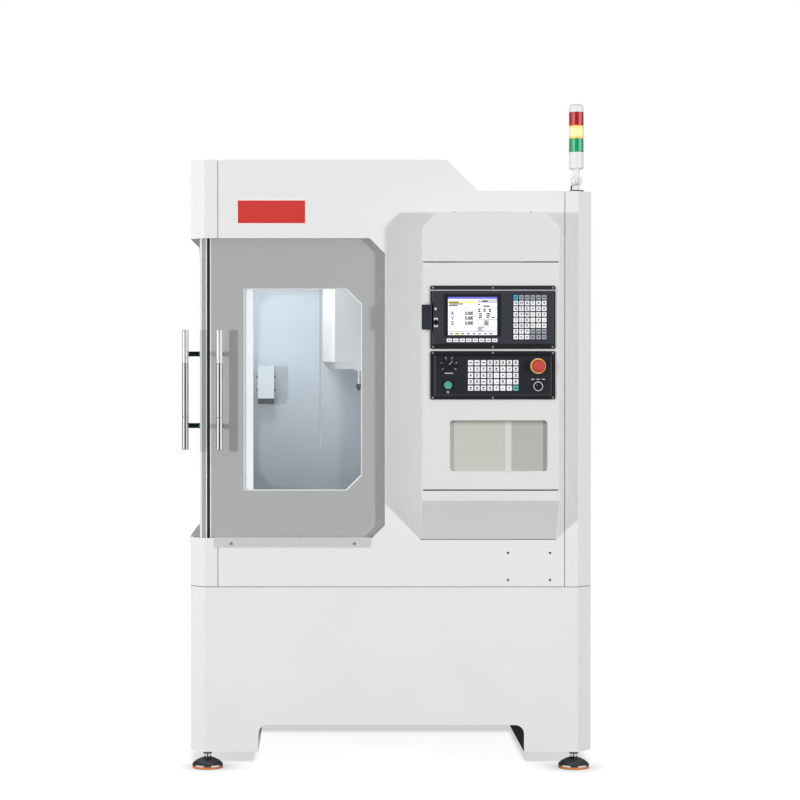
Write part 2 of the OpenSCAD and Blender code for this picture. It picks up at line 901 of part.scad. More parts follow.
// Switches on the operation panel, turned about an axis that points out of the panel
shaft_d = 8;
shaft_in = 3;
stop_stem = 22;
ring_h = 6;
ring_w = 4;
part_gap = 0.3;

module facing_out() {
    rotate([90, 0, 0]) children();
}

module stop_ring() {
    color("gold") at_op(stop_at) facing_out() rotate_extrude() polygon([
        [stop_stem / 2 + part_gap, 0], [stop_d / 2 + ring_w, 0], [stop_d / 2 + ring_w, ring_h - 2],
        [stop_d / 2 + ring_w - 2, ring_h], [stop_stem / 2 + part_gap, ring_h]
    ]);
}

// Edge of the stop head: distance inwards and under its top
stop_cap = [[0, 9], [3, 4], [8, 1]];

module stop_head() {
    under = ring_h + stop_travel + 2;
    color("crimson") at_op(stop_at) facing_out() rotate_extrude() polygon(concat(
        [[0, -shaft_in], [stop_stem / 2, -shaft_in], [stop_stem / 2, under], [stop_d / 2 - 2, under],
            [stop_d / 2, under + 2]],
        [for (q = stop_cap) [stop_d / 2 - q[0], stop_h - q[1]]],
        [[stop_d / 4, stop_h], [0, stop_h]]));
}

dial_h = 18;
flutes = 16;
flute_d = 3;
flute_low = 4;
mark_w = 2;
dial_rest = -40;

module override_dial() {
    color("black") at_op(dial_at) facing_out() {
        difference() {
            translate([0, 0, part_gap]) cylinder(h = dial_h - part_gap, d = dial_d);
            for (i = [0:flutes - 1]) rotate([0, 0, (i + 0.5) * 360 / flutes])
                translate([dial_d / 2 + flute_d / 4, 0, flute_low]) cylinder(h = dial_h, d = flute_d);
            rotate([0, 0, dial_rest]) translate([-mark_w / 2, 0, dial_h - 1])
                cube([mark_w, dial_d, mark_w]);
        }
        translate([0, 0, -shaft_in]) cylinder(h = shaft_in + 1, d = shaft_d);
    }
}

module start_button() {
    d = start_d - 2 * start_rim - 2 * part_gap;
    top = collar_h + start_travel + 1;
    color("seagreen") at_op(start_at) facing_out() rotate_extrude() polygon([
        [0, -shaft_in], [d / 2, -shaft_in], [d / 2, top - 1], [d / 2 - 1, top], [0, top]
    ]);
}

key_slot = 3;
key_rest = 45;

module key_barrel() {
    d = key_d - 2 * collar_w - 2 * run_gap;
    color("silver") at_op(key_at) facing_out() difference() {
        translate([0, 0, -shaft_in]) cylinder(h = shaft_in + collar_h - 1, d = d);
        rotate([0, 0, key_rest]) translate([-key_slot / 2, -d / 3, collar_h - 4])
            cube([key_slot, 2 * d / 3, collar_h]);
    }
}

// Memory port beside a flap on a vertical pin, shown open to the left
port_x = 10.7;
port_z = 68;
port_w = 12;
port_h = 28;
port_deep = 8;
port_up = 1.5;
slot_in = 3;
hinge_x = 1.6;
hinge_up = 2.5;
flap_z = 60;
flap_w = 29;
flap_h = 77;
flap_t = 3;
pin_d = 4;
lug_h = 5;
lug_pin = 3;
strip_y = 1;

module usb_socket() {
    color("darkslategray") at_cnc() {
        difference() {
            translate([port_x, -port_up, port_z]) cube([port_w, port_up + port_deep, port_h]);
            translate([port_x + slot_in, -port_up - 1, port_z + slot_in])
                cube([port_w - 2 * slot_in, port_up + port_deep, port_h - 2 * slot_in]);
        }
        difference() {
            union() {
                translate([0, strip_y, flap_z - lug_h])
                    cube([cnc_rim[0] - part_gap, unit_bevel - strip_y, flap_h + 2 * lug_h]);
                for (z = [flap_z - lug_h, flap_z + flap_h + part_gap]) translate([hinge_x, 0, z]) {
                    translate([-pin_d / 2, -hinge_up, 0])
                        cube([pin_d, hinge_up + strip_y + 1, lug_h - part_gap]);
                    translate([0, -hinge_up, 0]) cylinder(h = lug_h - part_gap, d = pin_d);
                }
            }
            translate([hinge_x, -hinge_up, flap_z])
                rod_z(-lug_h - 1, flap_h + lug_h + 1, lug_pin + 2 * run_gap);
        }
    }
}

module usb_flap() {
    color("darkslategray") at_cnc() translate([hinge_x, -hinge_up, flap_z]) {
        rod_z(0, flap_h, pin_d);
        rod_z(-lug_h, flap_h + lug_h, lug_pin);
        translate([-flap_w, part_gap, 0]) cube([flap_w, flap_t - part_gap, flap_h]);
    }
}

// Pan head screws, each seated on its face
module screw_head(d) {
    difference() {
        rotate_extrude() polygon([[0, 0], [d / 2, 0], [d / 2, d / 8], [d / 2 - d / 8, d / 3], [0, d / 3]]);
        translate([0, 0, d / 6]) cylinder(h = d, d = d / 2, $fn = 6);
    }
}

big_screw = 10;
wall_screw = 7;
small_screw = 6;
cap_screw_y = 20;
strip_screw_low = 17;
box_screw_in = 20;
cap_screw_at = [98, 337];
wall_screw_x = [367, 499];
wall_screw_z = [600, 685];
strip_screw_s = [130, 517];
cnc_screw_in = [8.5, 6.5];
op_screw_in = [8, 6];

module strip_screw(s) {
    translate([s, -strip_t, sill_z - strip_screw_low]) facing_out() screw_head(big_screw);
}

module unit_screws(h, in) {
    for (x = [in[0], unit_w / 2, unit_w - in[0]], z = [in[1], h - in[1]])
        translate([x, unit_bevel, z]) facing_out() screw_head(small_screw);
}

module screws() {
    color("lightgray") {
        for (x = cap_screw_at) translate([con_x0 + x, con_y + cap_screw_y, con_top]) screw_head(big_screw);
        for (x = wall_screw_x, z = wall_screw_z) translate([x, front_y, z])
            facing_out() screw_head(wall_screw);
        for (s = strip_screw_s) {
            on_front() strip_screw(s);
            on_left() strip_screw(s);
        }
        at_cnc() unit_screws(cnc_h, cnc_screw_in);
        at_op([0, 0]) unit_screws(op_h, op_screw_in);
        for (z = [box_z + box_screw_in, box_z + box_h - box_screw_in])
            translate([box_x + box_w, liner_y - box_d / 2, z]) rotate([0, 90, 0]) screw_head(small_screw);
    }
}

// Signal tower on a folding knuckle
tower_back = 50;
tower_y = front_y + tower_back;
pipe_d = 19;
pipe_h = 16;
gasket_d = 46;
gasket_t = 2;
knuckle_d = 36;
tongue_w = 13;
tongue_d = 22;
fold_pin = 8;
arm_len = 38;
body_h = 54;
body_edge = 4;
dome_h = 25;
lamp_edge = 1.5;
fold_z = low_roof + pipe_h + knuckle_d / 2;
lamps_z = fold_z + arm_len + body_h;

module at_tower() {
    translate([right_x - tower_in, tower_y, 0]) children();
}

module tower_post() {
    slot = tongue_w / 2 + part_gap;
    color("white") at_tower() {
        rod_z(low_roof, low_roof + gasket_t, gasket_d);
        rod_z(low_roof, low_roof + pipe_h + gasket_t, pipe_d);
        translate([0, 0, fold_z]) {
            difference() {
                sphere(d = knuckle_d);
                block([-slot, -knuckle_d, -tongue_d / 2 - part_gap], [slot, knuckle_d, knuckle_d]);
            }
            rod_x(-tongue_w, tongue_w, fold_pin);
        }
    }
}

module tower_arm() {
    shoulder = knuckle_d / 2 + 1;
    color("white") at_tower() translate([0, 0, fold_z]) difference() {
        union() {
            translate([-tongue_w / 2, 0, 0]) rod_x(0, tongue_w, tongue_d);
            translate([-tongue_w / 2, -tube_d / 2, 0]) cube([tongue_w, tube_d, shoulder + 1]);
            rod_z(shoulder, arm_len, tube_d);
        }
        rod_x(-tongue_w, tongue_w, fold_pin + 2 * run_gap);
    }
}

module tower_caps() {
    color("white") at_tower() {
        translate([0, 0, fold_z + arm_len]) rotate_extrude() polygon([
            [0, 0], [lamp_d / 2 - body_edge, 0], [lamp_d / 2, body_edge], [lamp_d / 2, body_h - lamp_edge],
            [lamp_d / 2 - lamp_edge, body_h], [0, body_h]
        ]);
        translate([0, 0, lamps_z + 3 * lamp_h]) rotate_extrude() {
            square([lamp_d / 2, dome_h - lamp_d / 4]);
            intersection() {
                translate([0, dome_h - lamp_d / 4]) {
                    square([lamp_d / 4, lamp_d / 4]);
                    translate([lamp_d / 4, 0]) circle(lamp_d / 4);
                }
                square([lamp_d, dome_h]);
            }
        }
    }
}

module lamp(i) {
    r = lamp_d / 2;
    e = lamp_edge;
    at_tower() translate([0, 0, lamps_z + i * lamp_h]) rotate_extrude()
        polygon([[0, 0], [r - e, 0], [r, e], [r, lamp_h - e], [r - e, lamp_h], [0, lamp_h]]);
}

module tower_green() { color("seagreen") lamp(0); }
module tower_amber() { color("orange") lamp(1); }
module tower_red() { color("firebrick") lamp(2); }

// Short lead from the knuckle down to a grommet on the gasket
lead_d = 5;
lead_x = -15;
grommet_d = 10;
grommet_h = 4;

module tower_lead() {
    inner = -lead_x - lead_d / 2;
    top = fold_z - sqrt(knuckle_d * knuckle_d / 4 - inner * inner);
    color("black") at_tower() translate([lead_x, 0, 0]) {
        rod_z(low_roof + gasket_t, low_roof + gasket_t + grommet_h, grommet_d);
        rod_z(low_roof + gasket_t, top, lead_d);
    }
}

// Cast bed and column
sp_y = -spindle_y;
deck_top = deck_z + deck_t;
bed_front = -430;
bed_clear = 5;
bed_back = back_y - flange_w - bed_clear;
column_in = 15;
guide_x = 110;
seat_h = 40;
column_y = 230;
column_back = bed_back - column_in;
column_top = low_roof - column_under;
column_end = 60;
seat_w = 50;
seat_lap = 10;
cast_wall = 30;
rib_y = 30;
channel_w = 90;
channel_d = 32;

module bed() {
    low = bed_z - seat_h;
    color("dimgray") difference() {
        union() {
            block([-bed_w / 2, bed_front, deck_top], [bed_w / 2, bed_back, low]);
            for (x = [-guide_x, guide_x])
                block([x - seat_w / 2, bed_front, low], [x + seat_w / 2, column_y, bed_z]);
            block([-bed_w / 2, column_y - seat_lap, low], [bed_w / 2, bed_back, bed_z]);
        }
        block([cast_wall - bed_w / 2, bed_front + cast_wall, deck_top + cast_wall],
            [bed_w / 2 - cast_wall, rib_y, low - cast_wall]);
        block([cast_wall - bed_w / 2, rib_y + cast_wall, deck_top + cast_wall],
            [bed_w / 2 - cast_wall, bed_back - cast_wall, low - cast_wall]);
    }
}

module column() {
    color("dimgray") difference() {
        block([-column_w / 2, column_y, bed_z], [column_w / 2, column_back, column_top]);
        block([-channel_w / 2, column_y - 1, bed_z - 1],
            [channel_w / 2, column_y + channel_d, column_top + 1]);
        block([cast_wall - column_w / 2, column_y + channel_d + cast_wall, bed_z + column_end],
            [column_w / 2 - cast_wall, column_back - cast_wall, column_top - column_end]);
    }
}

// Profile guide: half section of the rail with its waist, as width cut and share of the height
rail_waist = 3;
rail_half = [[0, 0], [0, 0.3], [rail_waist, 0.45], [rail_waist, 0.6], [0, 0.75], [0, 1]];

module guide_rail(l) {
    w = guide_w / 2;
    translate([0, l / 2, 0]) rotate([90, 0, 0]) linear_extrude(l) polygon(concat(
        [for (q = rail_half) [w - q[0], guide_h * q[1]]],
        [for (i = [5:-1:0]) [rail_half[i][0] - w, guide_h * rail_half[i][1]]]));
}

// Carriage over a rail, with its top at the stack height
block_w = 70;
block_l = 84;
block_low = 6;

module carriage() {
    difference() {
        translate([-block_w / 2, -block_l / 2, block_low])
            cube([block_w, block_l, guide_stack - block_low]);
        translate([-guide_w / 2 - part_gap, -block_l, 0])
            cube([guide_w + 2 * part_gap, 2 * block_l, guide_h + part_gap]);
    }
}

// Travels and places of the three axes
y_travel = 100;
z_down = 220;
z_up = 80;
block_y = 80;
block_x = 130;
head_z = cover_z + sheet_t;
head_h = 235;
head_w = 220;
block_z = 62;
x_guide = 85;
saddle_z = bed_z + guide_stack;
saddle_top = saddle_z + saddle_t;
table_z = saddle_top + guide_stack;
head_back = column_y - guide_stack;
rail_over = 12;

module on_column() {
    translate([0, column_y, 0]) rotate([90, 0, 0]) children();
}

module guide_rails() {
    y_len = 2 * (y_travel + block_y + block_l / 2 + rail_over);
    z_low = head_z + head_h / 2 - block_z - block_l / 2 - z_down - rail_over;
    z_top = head_z + head_h / 2 + block_z + block_l / 2 + z_up + rail_over;
    color("silver") for (x = [-guide_x, guide_x]) {
        translate([x, sp_y, bed_z]) guide_rail(y_len);
        translate([x, 0, (z_low + z_top) / 2]) on_column() guide_rail(z_top - z_low);
    }
}

// Ball screw along z from its motor end, journals at both ends
journal_d = 15;
motor_shaft = 12;
bearing_t = 25;

module ball_screw(l, motor_len) {
    color("lightgray") rotate_extrude() polygon([
        [0, 0], [motor_shaft / 2, 0], [motor_shaft / 2, motor_len], [journal_d / 2, motor_len],
        [journal_d / 2, motor_len + bearing_t], [screw_d / 2, motor_len + bearing_t],
        [screw_d / 2, l - bearing_t], [journal_d / 2, l - bearing_t], [journal_d / 2, l], [0, l]
    ]);
}

// Square motor on its flange plate, with the corners of its body rounded
motor_round = 1.25;

module motor_body(w, l, plate, in) {
    translate([-w / 2, -w / 2, 0]) cube([w, w, plate]);
    intersection() {
        translate([in - w / 2, in - w / 2, 0]) cube([w - 2 * in, w - 2 * in, l]);
        rod_z(0, l, motor_round * w);
    }
}

// Servo motor with its shaft socket at z = 0, standing on z = 0
motor_w = 70;
motor_l = 110;
motor_plate = 10;
motor_in = 2;
socket_l = 20;
plug = [24, 12, 26];
plug_end = 14;

module servo() {
    difference() {
        union() {
            motor_body(motor_w, motor_l, motor_plate, motor_in);
            translate([-plug[0] / 2, (motor_w - plug[1]) / 2, motor_l - plug_end - plug[2]]) cube(plug);
        }
        rod_z(-1, socket_l + 1, motor_shaft + 2 * run_gap);
    }
}

module bearing_block(low, high, w) {
    difference() {
        translate([-w / 2, -low, 0]) cube([w, low + high, bearing_t]);
        rod_z(-1, bearing_t + 1, journal_d + 2 * run_gap);
    }
}

y_screw_up = 5;
y_screw_z = bed_z + y_screw_up;
y_screw_end = 130;
y_screw_l = y_screw_end - bed_front + socket_l;
seat_low = y_screw_z - bed_z + seat_h;
z_screw_out = 8;
z_screw_y = column_y - z_screw_out;
plate_t = 12;
z_screw_low = 985;
z_screw_l = column_top + plate_t + socket_l - z_screw_low;
z_seat = column_y + channel_d - z_screw_y;

module along_plus_y() {
    rotate([-90, 0, 0]) children();
}

bearing_over = 30;
bearing_w = 66;
z_bearing_over = 22;
channel_gap = 3;
z_plate_w = 120;
z_plate_front = 40;
z_plate_lap = 70;
shaft_gap = 2;

module axis_drives() {
    color("darkslategray") {
        translate([0, bed_front, y_screw_z]) rotate([90, 0, 0]) {
            servo();
            mirror([0, 0, 1]) bearing_block(seat_low, bearing_over, bearing_w);
        }
        translate([0, y_screw_end, y_screw_z]) rotate([90, 0, 0])
            bearing_block(seat_low, bearing_over, bearing_w);
        translate([0, z_screw_y, column_top + plate_t]) servo();
        difference() {
            block([-z_plate_w / 2, z_screw_y - z_plate_front, column_top],
                [z_plate_w / 2, column_y + z_plate_lap, column_top + plate_t]);
            translate([0, z_screw_y, column_top]) rod_z(-1, plate_t + 1, motor_shaft + 2 * shaft_gap);
        }
        for (z = [z_screw_low, column_top - bearing_t]) translate([0, z_screw_y, z]) rotate([0, 0, 180])
            bearing_block(z_seat, z_bearing_over, channel_w - 2 * channel_gap);
    }
}

module y_screw() {
    translate([0, bed_front - socket_l, y_screw_z]) along_plus_y() ball_screw(y_screw_l, socket_l);
}

module z_screw() {
    translate([0, z_screw_y, column_top + plate_t + socket_l]) mirror([0, 0, 1])
        ball_screw(z_screw_l, socket_l + plate_t);
}

// Saddle with a groove for the cross screw
groove_w = 76;
groove_floor = 14;
x_screw_up = 26;
x_screw_z = saddle_z + groove_floor + x_screw_up;
relief_h = 8;
rail_short = 2;
bearing_proud = 4;
nut_w = 64;
nut_l = 90;
nut_r = 22;

module at_spindle() {
    translate([0, sp_y, 0]) children();
}

module saddle() {
    color("gray") at_spindle() difference() {
        block([-saddle_l / 2, -saddle_d / 2, saddle_z], [saddle_l / 2, saddle_d / 2, saddle_top]);
        block([-saddle_l, -groove_w / 2, saddle_z + groove_floor],
            [saddle_l, groove_w / 2, saddle_top + 1]);
        for (turn = [0, 180]) rotate([0, 0, turn])
            block([bed_w / 2, -saddle_d, saddle_z - 1], [saddle_l, saddle_d, saddle_z + relief_h]);
    }
}

module saddle_blocks() {
    color("silver") at_spindle() {
        for (x = [-guide_x, guide_x], y = [-block_y, block_y]) translate([x, y, bed_z]) carriage();
        difference() {
            block([-nut_w / 2, -nut_l / 2, y_screw_z - nut_r], [nut_w / 2, nut_l / 2, saddle_z]);
            translate([0, 0, y_screw_z]) rod_y(-nut_l, nut_l, screw_d + 2 * run_gap);
        }
    }
}

module table_rails() {
    color("silver") at_spindle() for (y = [-x_guide, x_guide])
        translate([0, y, saddle_top]) rotate([0, 0, 90]) guide_rail(saddle_l - 2 * rail_short);
}

module x_drive() {
    high = saddle_top - x_screw_z + bearing_proud;
    low = x_screw_z - saddle_z - groove_floor;
    color("darkslategray") at_spindle() {
        translate([saddle_l / 2, 0, x_screw_z]) rotate([90, 0, 90]) servo();
        for (x = [-saddle_l / 2, saddle_l / 2 - bearing_t])
            translate([x, 0, x_screw_z]) rotate([90, 0, 90])
                bearing_block(low, high, groove_w - 2 * channel_gap);
    }
}

module x_screw() {
    at_spindle() translate([saddle_l / 2 + socket_l, 0, x_screw_z]) rotate([0, -90, 0])
        ball_screw(saddle_l + socket_l, socket_l);
}

// Table with T-slots
slot_deep = 26;
tee_w = 24;
tee_h = 11;

module table() {
    top = table_z + table_t;
    color("gray") at_spindle() difference() {
        block([-table_l / 2, -table_d / 2, table_z], [table_l / 2, table_d / 2, top]);
        for (y = [-slot_p, 0, slot_p]) {
            block([-table_l, y - slot_w / 2, top - slot_deep], [table_l, y + slot_w / 2, top + 1]);
            block([-table_l, y - tee_w / 2, top - slot_deep],
                [table_l, y + tee_w / 2, top - slot_deep + tee_h]);
        }
    }
}

module table_blocks() {
    color("silver") at_spindle() {
        for (x = [-block_x, block_x], y = [-x_guide, x_guide])
            translate([x, y, saddle_top]) rotate([0, 0, 90]) carriage();
        difference() {
            block([-nut_l / 2, -nut_w / 2, x_screw_z - nut_r], [nut_l / 2, nut_w / 2, table_z]);
            translate([0, 0, x_screw_z]) rod_x(-nut_l, nut_l, screw_d + 2 * run_gap);
        }
    }
}

// Head with its spindle
sleeve_d = 110;
flange_d = 140;
flange_h = 20;
sleeve_h = 175;
nose_d = 95;
nose_h = 50;
rotor_nose = 18;
drive_d = 30;
spindle_motor_w = 150;
spindle_motor_h = 130;
drive_in = 25;
head_round = 30;
head_floor = 40;
pocket_in = 150;

module head() {
    color("dimgray") difference() {
        union() {
            block([-head_w / 2, sp_y, head_z], [head_w / 2, head_back, head_z + head_h]);
            at_spindle() rod_z(head_z, head_z + head_h, spindle_motor_w + head_round);
        }
        at_spindle() rod_z(head_z - 1, head_z + head_h + 1, sleeve_d + 2 * run_gap);
        block([cast_wall - head_w / 2, sp_y + pocket_in, head_z + head_floor],
            [head_w / 2 - cast_wall, head_back - cast_wall, head_z + head_h + 1]);
    }
}

module head_blocks() {
    mid = head_z + head_h / 2;
    color("silver") {
        for (x = [-guide_x, guide_x], z = [-block_z, block_z]) translate([x, 0, mid + z])
            on_column() carriage();
        difference() {
            block([-nut_w / 2, head_back, mid - nut_l / 2],
                [nut_w / 2, z_screw_y + nut_r, mid + nut_l / 2]);
            translate([0, z_screw_y, mid]) rod_z(-nut_l, nut_l, screw_d + 2 * run_gap);
        }
    }
}

nose_edge = 4;
sleeve_low = -flange_h - nose_h;

module spindle_sleeve() {
    bore = rotor_d / 2 + run_gap;
    color("silver") at_spindle() translate([0, 0, head_z]) rotate_extrude() polygon([
        [bore, sleeve_low], [nose_d / 2 - nose_edge, sleeve_low], [nose_d / 2, sleeve_low + nose_edge],
        [nose_d / 2, -flange_h], [flange_d / 2, -flange_h], [flange_d / 2, 0], [sleeve_d / 2, 0],
        [sleeve_d / 2, sleeve_h], [bore, sleeve_h]
    ]);
}

rotor_cone = 8;
rotor_rim = 6;
nose_z = head_z + sleeve_low - rotor_nose - part_gap;

module spindle() {
    r = rotor_d / 2;
    neck = head_z + sleeve_h - nose_z;
    end = head_z + head_h + drive_in - 1 - nose_z;
    color("lightgray") at_spindle() difference() {
        translate([0, 0, nose_z]) rotate_extrude() polygon([
            [0, 0], [r - rotor_cone, 0], [r + rotor_rim, rotor_nose / 2], [r + rotor_rim, rotor_nose],
            [r, rotor_nose], [r, neck], [drive_d / 2, neck], [drive_d / 2, end], [0, end]
        ]);
        rod_z(nose_z - 1, nose_z + tool_depth, tool_d);
    }
}

spindle_plate = 14;
spindle_in = 4;

module spindle_motor() {
    color("black") at_spindle() translate([0, 0, head_z + head_h]) difference() {
        motor_body(spindle_motor_w, spindle_motor_h, spindle_plate, spindle_in);
        rod_z(-1, drive_in, drive_d + 2 * run_gap);
    }
}

// Sheet cover round the head and the apron behind the wall slot
cover_c = 38;
cover_bevel = 24;
cover_hole = flange_d + 10;
apron_gap = 3;
apron_t = 3;
apron_low = 362;
apron_top = 60;
apron_lap = 15;
window_gap = 5;
cover_back = liner_y + sheet_t + apron_gap;

function cover_outline(i, back) =
    let (x = cover_w / 2 - i, y = sp_y - cover_front + i, c = cover_c - i * (1 - bend_k))
    [[-x, back], [-x, y + c], [c - x, y], [x - c, y], [x, y + c], [x, back]];

// Solid of the cover, bevelled round its underside and moved inwards by i
module cover_body(i, z0, z1, back) {
    hull() {
        translate([0, 0, z0]) linear_extrude(1) polygon(cover_outline(cover_bevel + i, back));
        translate([0, 0, z0 + cover_bevel]) linear_extrude(z1 - z0 - cover_bevel)
            polygon(cover_outline(i, back));
    }
}

module head_cover() {
    top = cover_z + cover_h;
    slot = head_w / 2 + window_gap;
    edge = head_slot + apron_lap;
    color("gainsboro") {
        difference() {
            cover_body(0, cover_z, top, cover_back);
            cover_body(sheet_t, head_z, top - sheet_t, cover_back + 1);
            at_spindle() rod_z(cover_z - 1, head_z + 1, cover_hole);
        }
        difference() {
            block([-edge, cover_back, cover_z - apron_low], [edge, cover_back + apron_t, top + apron_top]);
            block([-slot, cover_back - 1, head_z],
                [slot, cover_back + apron_t + 1, head_z + head_h + window_gap]);
        }
    }
}

// Coolant nozzle under the cover: foot, hose, knob and tip
nozzle_at = [-95, -205];
nozzle_foot = [28, 6];
hose_d = 6;
hose_l = 44;
knob_d = 18;
knob_h = 9;
tip_d = 7;
tip_l = 12;

module coolant_nozzle() {
    hose_z = -nozzle_foot[1] - hose_l;
    knob_z = hose_z - knob_h;
    color("black") translate([nozzle_at[0], nozzle_at[1], cover_z]) rotate_extrude() polygon([
        [0, 0], [nozzle_foot[0] / 2, 0], [nozzle_foot[0] / 2, -nozzle_foot[1]],
        [hose_d / 2, -nozzle_foot[1]],
        [hose_d / 2, hose_z], [knob_d / 2, hose_z], [knob_d / 2, knob_z], [tip_d / 2, knob_z - tip_l],
        [0, knob_z - tip_l]
    ]);
}

placed() base();
placed() corner_posts();
placed() front_panel();
placed() left_panel();
placed() right_panel();
placed() back_panel();
placed() roof();
placed() chamber_liner();
placed() cover_box();
placed() levelling_feet();
placed() foot_pads();
placed() door_tracks();
placed() front_glass();
placed() front_frame();
placed() front_handle();
placed() corner_seal();
placed() side_glass();
placed() side_frame();
placed() side_handle();
placed() console_shell();
placed() console_front();
placed() control_units();
placed() screen();
placed() membrane_keys();
placed() console_pane();
placed() stop_ring();
placed() stop_head();
placed() override_dial();
placed() start_button();
placed() key_barrel();
placed() coolant_nozzle();
placed() usb_socket();
placed() usb_flap();
placed() screws();
placed() tower_post();
placed() tower_arm();
placed() tower_caps();
placed() tower_green();
placed() tower_amber();
placed() tower_red();
placed() tower_lead();
placed() bed();
placed() column();
placed() guide_rails();
placed() axis_drives();
placed() y_screw();
placed() z_screw();
placed() saddle();
placed() saddle_blocks();
placed() table_rails();
placed() x_drive();
placed() x_screw();
placed() table();
placed() table_blocks();
placed() head();
placed() head_blocks();
placed() head_cover();
placed() spindle_sleeve();
placed() spindle();
placed() spindle_motor();
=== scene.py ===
import json
from math import cos, pi, radians, sin

import bpy
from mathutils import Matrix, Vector


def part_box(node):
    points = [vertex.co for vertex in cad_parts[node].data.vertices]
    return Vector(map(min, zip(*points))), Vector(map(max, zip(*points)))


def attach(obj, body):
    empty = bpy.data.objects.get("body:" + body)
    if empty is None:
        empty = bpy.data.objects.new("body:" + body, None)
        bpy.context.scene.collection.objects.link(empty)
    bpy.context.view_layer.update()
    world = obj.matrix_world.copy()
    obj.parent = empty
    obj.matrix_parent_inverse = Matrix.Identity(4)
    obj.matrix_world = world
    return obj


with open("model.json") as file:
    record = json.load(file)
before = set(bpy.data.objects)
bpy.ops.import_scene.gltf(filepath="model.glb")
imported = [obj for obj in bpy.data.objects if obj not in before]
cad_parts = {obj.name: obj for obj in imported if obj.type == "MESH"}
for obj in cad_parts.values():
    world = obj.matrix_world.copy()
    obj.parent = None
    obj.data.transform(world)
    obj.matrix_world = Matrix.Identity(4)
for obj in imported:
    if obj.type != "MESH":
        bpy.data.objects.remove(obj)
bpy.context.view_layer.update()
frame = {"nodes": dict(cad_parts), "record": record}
print("frame loaded:", len(frame["nodes"]), "nodes")


# camera, as the photograph was taken
cameraView = {
    "place": (-0.226, -7.519, 1.28),  # in front of the left half, at chest height
    "yaw": -0.147,
    "pitch": 0.4998,
    "lens": 100.248,
    "sensor": 36,
    "shift": (0.1136, -0.0212),
    "reach": 60,
}


def makeCamera(view):
    data = bpy.data.cameras.new("studioCamera")
    data.lens = view["lens"]
    data.sensor_width = view["sensor"]
    data.shift_x, data.shift_y = view["shift"]
    data.clip_end = view["reach"]
    camera = bpy.data.objects.new("studioCamera", data)
    camera.location = view["place"]
    camera.rotation_euler = (radians(90 - view["pitch"]), 0, radians(-view["yaw"]))
    bpy.context.scene.collection.objects.link(camera)
    bpy.context.scene.camera = camera


makeCamera(cameraView)
bpy.context.scene.view_settings.view_transform = "Standard"
print("camera set")


# node sockets that can be used in sums
class Wire:
    def __init__(self, tree, socket):
        self.tree = tree
        self.socket = socket

    def node(self, kind, settings=None, inputs=None, out=0):
        made = self.tree.nodes.new("ShaderNode" + kind)
        for name, value in (settings or {}).items():
            setattr(made, name, value)
        for name, value in (inputs or {}).items():
            feed(made.inputs[name], value)
        return Wire(self.tree, made.outputs[out])

    def math(self, operation, first, second=0.0):
        return self.node("Math", {"operation": operation}, {0: first, 1: second})

    def __add__(self, other):
        return self.math("ADD", self, other)

    def __sub__(self, other):
        return self.math("SUBTRACT", self, other)

    def __rsub__(self, other):
        return self.math("SUBTRACT", other, self)

    def __mul__(self, other):
        return self.math("MULTIPLY", self, other)

    def __truediv__(self, other):
        return self.math("DIVIDE", self, other)

    def __gt__(self, other):
        return self.math("GREATER_THAN", self, other)

    def __lt__(self, other):
        return self.math("LESS_THAN", self, other)

    def clamp(self):
        return self.math("MINIMUM", self.math("MAXIMUM", self, 0.0), 1.0)

    def within(self, low, high):
        return (self > low) * (self < high)

    def blend(self, plain, marked):  # a colour where the mask is 0, another where it is 1
        return self.node("Mix", {"data_type": "RGBA"}, {0: self, 6: plain, 7: marked}, out=2)

    def axes(self):
        made = self.node("SeparateXYZ", {}, {0: self})
        sockets = made.socket.node.outputs
        return [Wire(self.tree, socket) for socket in sockets]


def feed(socket, value):
    if isinstance(value, Wire):
        value.tree.links.new(value.socket, socket)
    else:
        socket.default_value = value


def linear(red, green, blue):  # sRGB bytes to a linear colour with full alpha
    parts = [channel / 255 for channel in (red, green, blue)]
    parts = [p / 12.92 if p < 0.04045 else ((p + 0.055) / 1.055) ** 2.4 for p in parts]
    return (*parts, 1.0)


def toned(colour, factor):
    return tuple(min(channel * factor, 1.0) for channel in colour[:3]) + (1.0,)


def startMaterial(name):
    material = bpy.data.materials.new(name)
    material.use_nodes = True
    tree = material.node_tree
    shader = tree.nodes["Principled BSDF"]
    place = Wire(tree, tree.nodes.new("ShaderNodeTexCoord").outputs["Object"])
    return material, shader.inputs, place


def unevenGloss(sockets, place, look):
    wave = place.node("TexNoise", {}, {"Vector": place, "Scale": look["wave"]})
    feed(sockets["Roughness"], wave * look["roughSpread"] + look["rough"])
    return wave


# plain finishes: a drifting colour, a grain that breaks the gloss and a fine bump
def finish(name, look):
    material, sockets, place = startMaterial(name)
    drift = place.node("TexNoise", {}, {"Vector": place, "Scale": look.get("patch", 3.0), "Detail": 3.0})
    stretched = place.node("Mapping", {}, {"Vector": place, "Scale": look.get("stretch", (1, 1, 1))})
    grain = place.node("TexNoise", {}, {"Vector": stretched, "Scale": look["grain"], "Detail": 2.0})
    spread = look.get("spread", 0.04)
    colour = drift.blend(toned(look["colour"], 1 - spread), toned(look["colour"], 1 + spread))
    speck = look.get("speck", 0.0)
    if speck:
        colour = ((grain - 0.5) * speck * 4 + 0.5).blend(toned(look["colour"], 1 - speck), colour)
    feed(sockets["Base Color"], colour)
    feed(sockets["Roughness"], (grain - 0.5) * look.get("roughSpread", 0.1) + look["rough"])
    bump = place.node("Bump", {}, {"Strength": look["bump"], "Distance": 0.0005, "Height": grain})
    feed(sockets["Normal"], bump)
    sockets["Metallic"].default_value = look.get("metal", 0.0)
    return material


